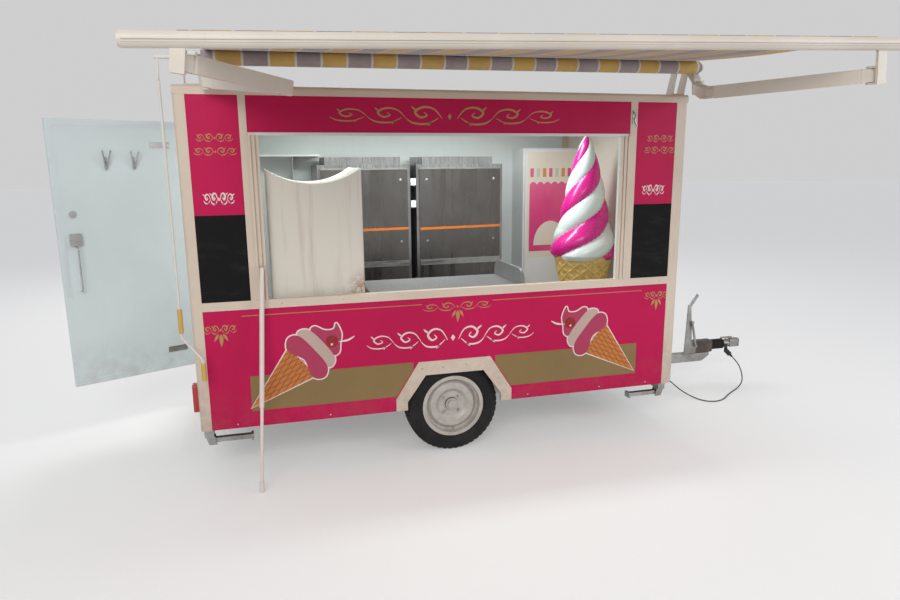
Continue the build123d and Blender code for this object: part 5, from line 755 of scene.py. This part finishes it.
# Screws of the arch plates, the lower panels' feet and the sill rail
ARCH_SCREWS = ((1.147, 0.345), (1.199, 0.462), (1.276, 0.565), (1.406, 0.567), (1.556, 0.567),
               (1.686, 0.565), (1.762, 0.462), (1.815, 0.345))
FOOT_SCREWS = (0.20, 0.72, 1.96, 2.46, 2.80)
FOOT_Z = 0.335
SILL_SCREWS = 9
SILL_START, SILL_PITCH = 0.14, 0.34
SILL_Y, SILL_Z = -0.003, 1.02
heads = bmesh.new()
for face_y, out in ((TRIM_Y, -1), (BODY_WIDTH - TRIM_Y, 1)):
    for x, z in ARCH_SCREWS:
        screw(heads, at(x, face_y, z), (0, out, 0), radius=0.0065, height=0.003)
for x in FOOT_SCREWS:
    for face_y, out in ((PANEL_Y, -1), (BODY_WIDTH - PANEL_Y, 1)):
        screw(heads, at(x, face_y, FOOT_Z), (0, out, 0), radius=0.0045, height=0.002)
for k in range(SILL_SCREWS):
    x = SILL_START + k * SILL_PITCH
    screw(heads, at(x, SILL_Y, SILL_Z), (0, -1, 0), radius=0.004, height=0.002)
piece("trim_screws", heads, [fitting], smooth=True)

# Tyres: ribbed side walls, cut shoulders and a tread with round grooves
TYRE_WIDE = 0.175
TYRE_SEGMENTS = 240
CUT_EVERY = 5
CUT_DEEP = 0.005
# columns: depth in from the outer side, radius; each list runs from the bead to the tread's middle
SIDE_WALL = (
    (0.036, 0.180), (0.014, 0.179), (0.0135, 0.194), (0.0095, 0.202), (0.0060, 0.206), (0.0062, 0.211),
    (0.0028, 0.214), (0.0010, 0.225), (0.0003, 0.240), (0.0016, 0.2405), (0.0016, 0.243), (0.0006, 0.2435),
    (0.0018, 0.256), (0.0042, 0.266), (0.0062, 0.272),
)
SHOULDER = ((0.0100, 0.2805), (0.0140, 0.2845), (0.0215, 0.2890), (0.0300, 0.2900), (0.0385, 0.2905))
CROWN = (
    (0.0400, 0.2835), (0.0455, 0.2835), (0.0470, 0.2910), (0.0560, 0.2913), (0.0650, 0.2914),
    (0.0665, 0.2840), (0.0720, 0.2840), (0.0735, 0.2915), (0.0875, 0.2915),
)
INSIDE = ((TYRE_WIDE - 0.036, 0.186), (0.036, 0.186))


def tyre_rows():
    """The tyre's section right round: depth, radius, and whether the shoulder's cuts reach it."""
    half = []
    for rows in (SIDE_WALL, SHOULDER, CROWN):
        half += [(depth, radius, rows is SHOULDER) for depth, radius in rows]
    mirrored = [(TYRE_WIDE - depth, radius, cut) for depth, radius, cut in reversed(half[:-1])]
    return half + mirrored + [(depth, radius, False) for depth, radius in INSIDE]


def road_tyre(side_name, centre, way_in):
    """A tyre turned about its wheel, from its outer side inwards."""
    mesh = bmesh.new()
    rings = []
    for depth, radius, cut in tyre_rows():
        ring = []
        for k in range(TYRE_SEGMENTS):
            r = radius - (CUT_DEEP if cut and k % CUT_EVERY == 0 else 0)
            angle = 2 * pi * k / TYRE_SEGMENTS
            ring.append(mesh.verts.new(centre + way_in * depth + Vector((r * cos(angle), 0, r * sin(angle)))))
        rings.append(ring)
    for a, b in zip(rings, rings[1:] + rings[:1]):
        for k in range(TYRE_SEGMENTS):
            n = (k + 1) % TYRE_SEGMENTS
            mesh.faces.new((a[k], b[k], b[n], a[n]))
    tyre = piece(f"road_tyre_{side_name}", mesh, [rubber], f"wheel_{side_name}")
    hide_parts(f"tyre_{side_name}")


# Wheel bolts and valve, and a dark ring around the hub
DISC_DEEP = 0.0525
BOLTS = 4
BOLT_CIRCLE = 0.130
BOLT_RADIUS, BOLT_TALL = 0.0095, 0.016
VALVE_DOWN, VALVE_DEEP = 0.150, 0.030
VALVE = [(0, 0), (0, 0.0055), (0.022, 0.004), (0.034, 0.004), (0.036, 0.0025), (0.036, 0)]
HUB_RING = [(0.0, 0.0285), (0.0, 0.043), (0.005, 0.042), (0.008, 0.036), (0.008, 0.0285), (0.0, 0.0285)]


def wheel_fittings(side_name, centre, way_in):
    """What stands on the rim's disc."""
    bolts = bmesh.new()
    disc = centre + way_in * DISC_DEEP
    for k in range(BOLTS):
        angle = pi / 4 + k * 2 * pi / BOLTS
        place = disc + Vector((BOLT_CIRCLE / 2 * cos(angle), 0, BOLT_CIRCLE / 2 * sin(angle)))
        hexagon(bolts, place, -way_in, BOLT_RADIUS, BOLT_TALL)
    valve = centre + Vector((0, 0, -VALVE_DOWN)) + way_in * VALVE_DEEP
    revolved(bolts, VALVE, valve, -way_in, segments=12)
    piece(f"wheel_bolts_{side_name}", bolts, [bolt_steel], f"wheel_{side_name}")
    ring = bmesh.new()
    revolved(ring, HUB_RING, disc, -way_in, segments=40)
    bmesh.ops.remove_doubles(ring, verts=ring.verts, dist=SAME_PLACE)
    piece(f"hub_ring_{side_name}", ring, [plug_black], f"wheel_{side_name}")


for side_name, inwards in (("near", 1), ("far", -1)):
    low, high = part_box(f"tyre_{side_name}")
    outer_y = low[1] if side_name == "near" else high[1]
    centre = Vector(((low[0] + high[0]) / 2, outer_y, (low[2] + high[2]) / 2))
    way_in = Vector((0, inwards, 0))
    road_tyre(side_name, centre, way_in)
    wheel_fittings(side_name, centre, way_in)

# Awning's lay-out, as in the part: a plane through the roll, tilted along and pitched out
AWNING_TILT = radians(0.6)
AWNING_PITCH = radians(6)
BAR_TILT = radians(1.2)
BAR_RISE = 0.034
BAR_OUT = 1.307
ROLL_AT = (1.5875, -0.050, 2.320)
roll_centre = at(*ROLL_AT)
along = Vector((cos(AWNING_TILT), 0, sin(AWNING_TILT)))
over = Vector((-sin(AWNING_TILT) * cos(AWNING_PITCH), -sin(AWNING_PITCH),
               cos(AWNING_TILT) * cos(AWNING_PITCH)))
back = over.cross(along)
bar_along = along * cos(BAR_TILT) + over * sin(BAR_TILT)
bar_over = over * cos(BAR_TILT) - along * sin(BAR_TILT)


def awning_point(u, v, w):
    """A place from the roll's middle: along it, out from the body, up from its axis."""
    return roll_centre + along * u - back * v + over * w


def bar_point(u, v, w):
    """A place on the front bar: along it from the roll's middle, out from its own middle, up from that."""
    return awning_point(0, BAR_OUT + v, BAR_RISE) + bar_along * (u / cos(BAR_TILT)) + bar_over * w


# Awning cloth: sagging a little between the roll and the front bar, and twisted as the bar is
CLOTH_REACH = 1.4075
CLOTH_OUT = 1.2845
CLOTH_HALF = 0.0008
ROLL_TOP = 0.0393
CLOTH_OVER_BAR = 0.0298
BAR_TOP = BAR_RISE + CLOTH_OVER_BAR
SAG = 0.014
SAG_DRIFT, SAG_WAVE = 0.25, 5.1
RIPPLE = 0.0012
RIPPLE_WAVE, RIPPLE_SHIFT = 23.0, 2.0
COLUMNS, ROWS = 88, 40


def cloth_height(u, t):
    """The cloth's middle over the roll's axis, u along the roll and t its share of the way to the bar."""
    bar_w = BAR_TOP + u * tan(BAR_TILT)
    sag = SAG * 4 * t * (1 - t) * (1 + SAG_DRIFT * sin(u * SAG_WAVE) * sin(pi * t))
    ripple = RIPPLE * sin(u * RIPPLE_WAVE + RIPPLE_SHIFT * t) * sin(pi * t)
    return ROLL_TOP + (bar_w - ROLL_TOP) * t - sag + ripple


def cloth_face(mesh, face_side):
    """A grid of points on the cloth's upper or under face."""
    grid = []
    for i in range(COLUMNS + 1):
        u = CLOTH_REACH * (2 * i / COLUMNS - 1)
        heights = [(j / ROWS, cloth_height(u, j / ROWS) + face_side * CLOTH_HALF) for j in range(ROWS + 1)]
        grid.append([mesh.verts.new(awning_point(u, CLOTH_OUT * t, w)) for t, w in heights])
    return grid


mesh = bmesh.new()
top = cloth_face(mesh, 1)
under = cloth_face(mesh, -1)
for i in range(COLUMNS):
    for j in range(ROWS):
        mesh.faces.new((top[i][j], top[i + 1][j], top[i + 1][j + 1], top[i][j + 1]))
        mesh.faces.new((under[i][j], under[i][j + 1], under[i + 1][j + 1], under[i + 1][j]))
for i in range(COLUMNS):
    for j, order in ((0, 1), (ROWS, -1)):
        quad = (top[i][j], under[i][j], under[i + 1][j], top[i + 1][j])
        mesh.faces.new(quad[::order])
for j in range(ROWS):
    for i, order in ((0, -1), (COLUMNS, 1)):
        quad = (top[i][j], under[i][j], under[i][j + 1], top[i][j + 1])
        mesh.faces.new(quad[::order])
cloth = piece("striped_cloth", mesh, [cloth_stripes], smooth=True)
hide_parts("awning_cloth")
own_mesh(cloth)

# End caps of the front bar, tapered to their outer face
CAP = [(-0.0235, -0.025), (-0.0235, 0.027), (0.006, 0.0265), (0.018, 0.016), (0.0235, 0.0), (0.019, -0.014),
       (0.007, -0.0255)]
CAP_IN, CAP_OUT = 0.004, 0.005
CAP_TAPER = 0.94
# columns: the bar's end along the roll, way out
BAR_ENDS = ((-1.5775, -1), (1.6225, 1))
caps = bmesh.new()
for u, way in BAR_ENDS:
    inner = [bar_point(u - way * CAP_IN, v, w) for v, w in CAP]
    outer = [bar_point(u + way * CAP_OUT, v * CAP_TAPER, w * CAP_TAPER) for v, w in CAP]
    prism(caps, inner, outer)
piece("bar_caps", caps, [awning_white], "awning_bar")

# Fine grooves along the front bar's outer side, as dark lines of painted shade standing in for the shade
# inside the grooves
GROOVE_ENDS = (-1.570, 1.615)
GROOVES = ((0.0203, 0.0085), (0.0236, 0.0), (0.0208, -0.0085))
GROOVE_IN, GROOVE_OUT, GROOVE_HALF = 0.002, 0.0003, 0.0008
GROOVE = ((-GROOVE_IN, -GROOVE_HALF), (GROOVE_OUT, -GROOVE_HALF), (GROOVE_OUT, GROOVE_HALF),
          (-GROOVE_IN, GROOVE_HALF))
lines = bmesh.new()
for v, w in GROOVES:
    first, last = ([bar_point(u, v + dv, w + dw) for dv, dw in GROOVE] for u in GROOVE_ENDS)
    prism(lines, first, last)
piece("bar_groove_shade", lines, [groove_shade_grey], "awning_bar")

# Latch at the top of the front mullion: a plate, its screw and a bent hook
LATCH_REAR, LATCH_FRONT = 2.616, 2.636
LATCH_LOW, LATCH_HIGH = 2.000, 2.085
LATCH_SCREW_X, LATCH_SCREW_Z = 2.626, 2.066
LATCH_PLATE_Y = TRIM_Y - 0.003
LATCH_HOOK_Y = TRIM_Y - 0.009
LATCH_HOOK = [(2.622, 2.078), (2.640, 2.050), (2.630, 2.025), (2.648, 1.990)]
latch = bmesh.new()
slab(latch, LATCH_REAR, LATCH_FRONT, LATCH_LOW, LATCH_HIGH, LATCH_PLATE_Y, thick=0.004)
stroke(latch, LATCH_HOOK, width=0.013, y=LATCH_HOOK_Y, thick=0.006)
screw(latch, at(LATCH_SCREW_X, LATCH_HOOK_Y, LATCH_SCREW_Z), (0, -1, 0), radius=0.006, height=0.003)
piece("hatch_latch", latch, [coupling_steel])

# Tapered strain relief where the lead leaves its gland
RELIEF = [(0.0, 0), (0.0, 0.0085), (0.004, 0.0085), (0.010, 0.0072), (0.014, 0.0076), (0.020, 0.0064),
          (0.024, 0.0068), (0.034, 0.0052), (0.036, 0.0045), (0.036, 0)]
relief = bmesh.new()
leave = (Vector(LEAD_ROUTE[1]) - Vector(LEAD_ROUTE[0])).normalized()
revolved(relief, RELIEF, at(*LEAD_ROUTE[0]), leave, segments=28)
piece("lead_strain_relief", relief, [plug_black])

# Ribbed grips on the crank's two upright ends
# columns: x, lower end, upper end
GRIPS = ((-0.045, 0.905, 1.035), (0.050, 0.628, 0.732))
GRIP_Y = -0.075
GRIP_RADIUS = 0.0124
GRIP_RIBS, GRIP_RIB = 12, 0.0008
GRIP_END = 0.01
grips = bmesh.new()
for x, z_low, z_high in GRIPS:
    tall = z_high - z_low
    profile = [(0, 0), (0, 0.0105), (0.006, 0.0128)]
    for k in range(GRIP_RIBS + 1):
        up = GRIP_END + (tall - 2 * GRIP_END) * k / GRIP_RIBS
        profile.append((up, GRIP_RADIUS + GRIP_RIB * (k % 2)))
    profile += [(tall - 0.004, 0.0125), (tall, 0.0105), (tall, 0)]
    revolved(grips, profile, at(x, GRIP_Y, z_low), (0, 0, 1), segments=24)
piece("crank_grips", grips, [grip_yellow], smooth=True)

# Display cone: a waffle with raised ribs that cross, on a round stand
cone_low, cone_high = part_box("display_cone")
cone_foot = Vector(((cone_low[0] + cone_high[0]) / 2, (cone_low[1] + cone_high[1]) / 2, cone_low[2]))
AROUND = 144
STAND = [(0, 0), (0, 0.196), (0.004, 0.200), (0.036, 0.200), (0.040, 0.196), (0.040, 0)]
WAFFLE_LOW, WAFFLE_HIGH = 0.040, 0.748
WAFFLE_RADIUS, WAFFLE_SPREAD = 0.058, 0.152
WAFFLE_STEPS = 72
RIBS, RIB_CLIMB = 12, 9
RIB_SHARE = 0.09
RIB_TALL = 0.006


def waffle_radius(t, k):
    """The waffle's radius at a share of its height and a step around it."""
    rising = abs((RIBS * k / AROUND + RIB_CLIMB * t) % 1 - 0.5)
    falling = abs((RIBS * k / AROUND - RIB_CLIMB * t) % 1 - 0.5)
    rib = RIB_TALL if min(rising, falling) < RIB_SHARE else 0.0
    return WAFFLE_RADIUS + WAFFLE_SPREAD * t + rib


# Swirl of soft ice: white and pink strands that wind up to a tip
SWIRL_LOW, SWIRL_HIGH = 0.725, 1.612
SWIRL_LAYERS = 150
SWIRL_TURNS = 1.35
STRANDS = 4
SWIRL_RADIUS = 0.238
SWIRL_TAPER = 0.62
SWIRL_BELLY = 0.10
SWIRL_TIP = 0.004
LIP_TOP, LIP_SHARE, LIP_SLOPE = 0.04, 0.90, 2.5
FOLD_SHARE, STRAND_SHARE = 0.84, 0.155


def strand_at(k, t):
    """How many strands lie before a step around the swirl, at a share of its height."""
    return STRANDS * k / AROUND - SWIRL_TURNS * STRANDS * t


def swirl_radius(t, k):
    """The swirl's radius: a belly that tapers to the tip, with a fold between strands."""
    size = SWIRL_RADIUS * (1 - t) ** SWIRL_TAPER * (1 + SWIRL_BELLY * sin(pi * min(t * 4, 1)))
    size = max(size, SWIRL_TIP)
    if t < LIP_TOP:
        size *= LIP_SHARE + LIP_SLOPE * t
    bulge = abs(sin(pi * (strand_at(k, t) % 1))) ** 0.5
    return size * (FOLD_SHARE + STRAND_SHARE * bulge)


def cone_rings(mesh, radius_at, low, high, steps):
    """Rings about the display cone's axis, from one height to another."""
    rings = []
    for j in range(steps + 1):
        t = j / steps
        ring = []
        for k in range(AROUND):
            angle = 2 * pi * k / AROUND
            radius = radius_at(t, k)
            place = Vector((radius * cos(angle), radius * sin(angle), low + (high - low) * t))
            ring.append(mesh.verts.new(cone_foot + place))
        rings.append(ring)
    return rings


mesh = bmesh.new()
revolved(mesh, STAND, cone_foot, (0, 0, 1), segments=64)
tube(mesh, cone_rings(mesh, waffle_radius, WAFFLE_LOW, WAFFLE_HIGH, WAFFLE_STEPS))
waffle_piece = piece("waffle_cone", mesh, [waffle])

mesh = bmesh.new()
rows = tube(mesh, cone_rings(mesh, swirl_radius, SWIRL_LOW, SWIRL_HIGH, SWIRL_LAYERS))
for j, row in enumerate(rows):
    for k, face in enumerate(row):
        face.material_index = floor(strand_at(k + 0.5, (j + 0.5) / SWIRL_LAYERS)) % 2
swirl = piece("ice_swirl", mesh, [swirl_white, swirl_pink], smooth=True)
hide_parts("display_cone")

# Cabinet doors: dark steel with a seam, an upper rim, four rivets and a bright band
CASES = ((0.790, 1.458), (1.504, 2.172))
DOOR_INSET = 0.022
DOOR_LOW, DOOR_HIGH, DOOR_THICK = 0.46, 1.735, 0.016
SEAM_LOW, SEAM_HIGH, SEAM_THICK = 1.028, 1.072, 0.004
RIM_TALL, RIM_THICK = 0.012, 0.019
RIVET_INSET = 0.075
RIVET_HEIGHTS = (1.21, 1.66)
STRIP_LOW, STRIP_CLIMB, STRIP_TALL, STRIP_THICK = 1.292, 0.008, 0.018, 0.0006
case_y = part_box("steel_cabinets")[0][1] - CORNER.y
door_y = case_y - DOOR_THICK
doors = bmesh.new()
edges = bmesh.new()
bands = bmesh.new()
for case_rear, case_front in CASES:
    x1, x2 = case_rear + DOOR_INSET, case_front - DOOR_INSET
    slab(doors, x1, x2, DOOR_LOW, DOOR_HIGH, door_y, DOOR_THICK)
    slab(edges, x1, x2, SEAM_LOW, SEAM_HIGH, door_y - SEAM_THICK, SEAM_THICK)
    slab(edges, x1, x2, DOOR_HIGH, DOOR_HIGH + RIM_TALL, case_y - RIM_THICK, RIM_THICK)
    for x in (case_rear + RIVET_INSET, case_front - RIVET_INSET):
        for z in RIVET_HEIGHTS:
            screw(edges, at(x, door_y, z), (0, -1, 0), radius=0.009, height=0.003)
    z1, z2 = STRIP_LOW, STRIP_LOW + STRIP_CLIMB
    strip = [(x1, z1), (x2, z2), (x2, z2 + STRIP_TALL), (x1, z1 + STRIP_TALL)]
    plate(bands, strip, door_y - STRIP_THICK, STRIP_THICK)
piece("cabinet_doors", doors, [door_steel])
piece("cabinet_door_edges", edges, [edge_steel])
piece("cabinet_bands", bands, [orange_band])

# White blocks in the gap between the two cases
BLOCK_LOWS = (1.62, 1.46)
BLOCK_TALL, BLOCK_THICK = 0.05, 0.02
BLOCK_GAP, BLOCK_PROUD = 0.004, 0.004
blocks = bmesh.new()
for z in BLOCK_LOWS:
    slab(blocks, CASES[0][1] + BLOCK_GAP, CASES[1][0] - BLOCK_GAP, z, z + BLOCK_TALL, case_y - BLOCK_PROUD,
         BLOCK_THICK)
piece("cabinet_blocks", blocks, [cabinet_white])

# Poster film on the tall cabinet's door: coloured tabs over a rose field with a pale mound
cabinet_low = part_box("tall_cabinet")[0]
poster_x = cabinet_low[0] - CORNER.x
poster_y = cabinet_low[1] - CORNER.y
POSTER_INKS = [
    worn("poster_rose", (0.72, 0.06, 0.22), (0.78, 0.20, 0.34)),
    worn("poster_mint", (0.55, 0.66, 0.50), (0.5, 0.6, 0.45)),
    worn("poster_orange", (0.72, 0.30, 0.08), (0.66, 0.26, 0.08)),
    worn("poster_paper", (0.80, 0.74, 0.64), (0.74, 0.66, 0.56), 0.5),
]
FIELD_INK, PAPER_INK = 0, 3
PAPER_REAR, PAPER_FRONT, PAPER_LOW, PAPER_HIGH = 0.03, 0.45, 1.00, 1.86
FIELD_REAR, FIELD_WIDE, FIELD_LOW, FIELD_HIGH = 0.05, 0.38, 1.05, 1.60
WAVE_TALL, WAVE_STEPS, WAVE_STEPS_EACH = 0.022, 24, 4
TABS, TAB_START, TAB_PITCH, TAB_WIDE, TAB_LOW, TAB_HIGH = 7, 0.055, 0.055, 0.03, 1.66, 1.73
TAB_INKS = 3
MOUND_MIDDLE, MOUND_HALF, MOUND_LOW, MOUND_TALL, MOUND_STEPS = 0.24, 0.15, 1.10, 0.20, 20
poster = bmesh.new()
slab(poster, poster_x + PAPER_REAR, poster_x + PAPER_FRONT, PAPER_LOW, PAPER_HIGH, poster_y - FILM, FILM,
     PAPER_INK)
field = [(poster_x + FIELD_REAR, FIELD_LOW), (poster_x + FIELD_REAR + FIELD_WIDE, FIELD_LOW)]
for k in reversed(range(WAVE_STEPS + 1)):
    crest = WAVE_TALL * abs(sin(k * pi / WAVE_STEPS_EACH))
    field.append((poster_x + FIELD_REAR + FIELD_WIDE * k / WAVE_STEPS, FIELD_HIGH + crest))
plate(poster, field, poster_y - 2 * FILM, FILM, FIELD_INK)
for k in range(TABS):
    x = poster_x + TAB_START + TAB_PITCH * k
    slab(poster, x, x + TAB_WIDE, TAB_LOW, TAB_HIGH, poster_y - 2 * FILM, FILM, k % TAB_INKS)
mound = []
for k in range(MOUND_STEPS + 1):
    angle = pi * k / MOUND_STEPS
    mound.append((poster_x + MOUND_MIDDLE + MOUND_HALF * cos(angle), MOUND_LOW + MOUND_TALL * sin(angle)))
plate(poster, mound, poster_y - 3 * FILM, FILM, PAPER_INK)
piece("cabinet_poster", poster, POSTER_INKS)


def seen(tree):
    """1 where the camera, a reflection or glass looks at the surface, 0 for its light on things."""
    path = tree.nodes.new("ShaderNodeLightPath")
    total = path.outputs["Is Camera Ray"]
    for ray in ("Is Glossy Ray", "Is Transmission Ray"):
        either = tree.nodes.new("ShaderNodeMath")
        either.operation = "MAXIMUM"
        tree.links.new(total, either.inputs[0])
        tree.links.new(path.outputs[ray], either.inputs[1])
        total = either.outputs[0]
    return total


# Floor, outside the object: pale, and lifted towards white where it is looked at
FLOOR_HALF = 60.0
FLOOR_UNDER = 0.0005
FLOOR_COLOUR = (0.74, 0.73, 0.71, 1)
FLOOR_LIFT = 0.26
floor_mesh = bmesh.new()
bmesh.ops.create_grid(floor_mesh, x_segments=1, y_segments=1, size=FLOOR_HALF)
floor_data = bpy.data.meshes.new("ground")
floor_mesh.to_mesh(floor_data)
floor_mesh.free()
floor_object = placed("ground", floor_data)
floor_object.location = (0, 0, -FLOOR_UNDER)
floor_graph = Graph("ground", 0.8)
fill_in(floor_graph.shader, Base_Color=FLOOR_COLOUR, Emission_Color=(1, 1, 1, 1))
floor_graph.link(floor_graph.math("MULTIPLY", seen(floor_graph.tree), FLOOR_LIFT),
                 floor_graph.shader.inputs["Emission Strength"])
floor_data.materials.append(floor_graph.material)

# World: a soft sky that lights the object, and a grey backdrop where it is looked at
SKY_COLOUR = (0.90, 0.93, 1.0, 1)
SKY_STRENGTH = 0.5
BACKDROP_COLOUR = (0.62, 0.62, 0.62, 1)
world = bpy.data.worlds.new("studio")
bpy.context.scene.world = world
world.use_nodes = True
world_nodes, world_links = world.node_tree.nodes, world.node_tree.links
sky = world_nodes["Background"]
fill_in(sky, Color=SKY_COLOUR, Strength=SKY_STRENGTH)
backdrop = world_nodes.new("ShaderNodeBackground")
fill_in(backdrop, Color=BACKDROP_COLOUR)
blend = world_nodes.new("ShaderNodeMixShader")
world_links.new(seen(world.node_tree), blend.inputs[0])
world_links.new(sky.outputs[0], blend.inputs[1])
world_links.new(backdrop.outputs[0], blend.inputs[2])
world_links.new(blend.outputs[0], world_nodes["World Output"].inputs["Surface"])

# Lamps: a large key lamp from the camera's side, two fills, and a cool lamp inside the cabin
# columns: name, place and target from the body's corner, size, power, colour
LAMPS = (
    ("key", (-1.5, -6.5, 4.6), (1.5, 0, 1.0), (4.0, 3.0), 215, (1.0, 0.97, 0.93)),
    ("fill", (6.5, -4.5, 3.0), (2.0, 0, 1.0), (3.0, 3.0), 85, (0.95, 0.97, 1.0)),
    ("rear_fill", (1.5, 7.0, 5.0), (1.5, 1.0, 1.0), (5.0, 3.0), 160, (1.0, 1.0, 1.0)),
    ("cabin", (1.55, 0.75, 2.12), (1.55, 0.75, 0), (1.8, 0.3), 26, (0.92, 1.0, 1.0)),
)
for name, place, target, size, power, colour in LAMPS:
    lamp_data = bpy.data.lights.new(name, "AREA")
    lamp_data.shape = "RECTANGLE"
    lamp_data.size, lamp_data.size_y = size
    lamp_data.energy = power
    lamp_data.color = colour
    lamp = placed(name, lamp_data)
    lamp.location = at(*place)
    lamp.rotation_euler = (at(*target) - at(*place)).to_track_quat("-Z", "Y").to_euler()
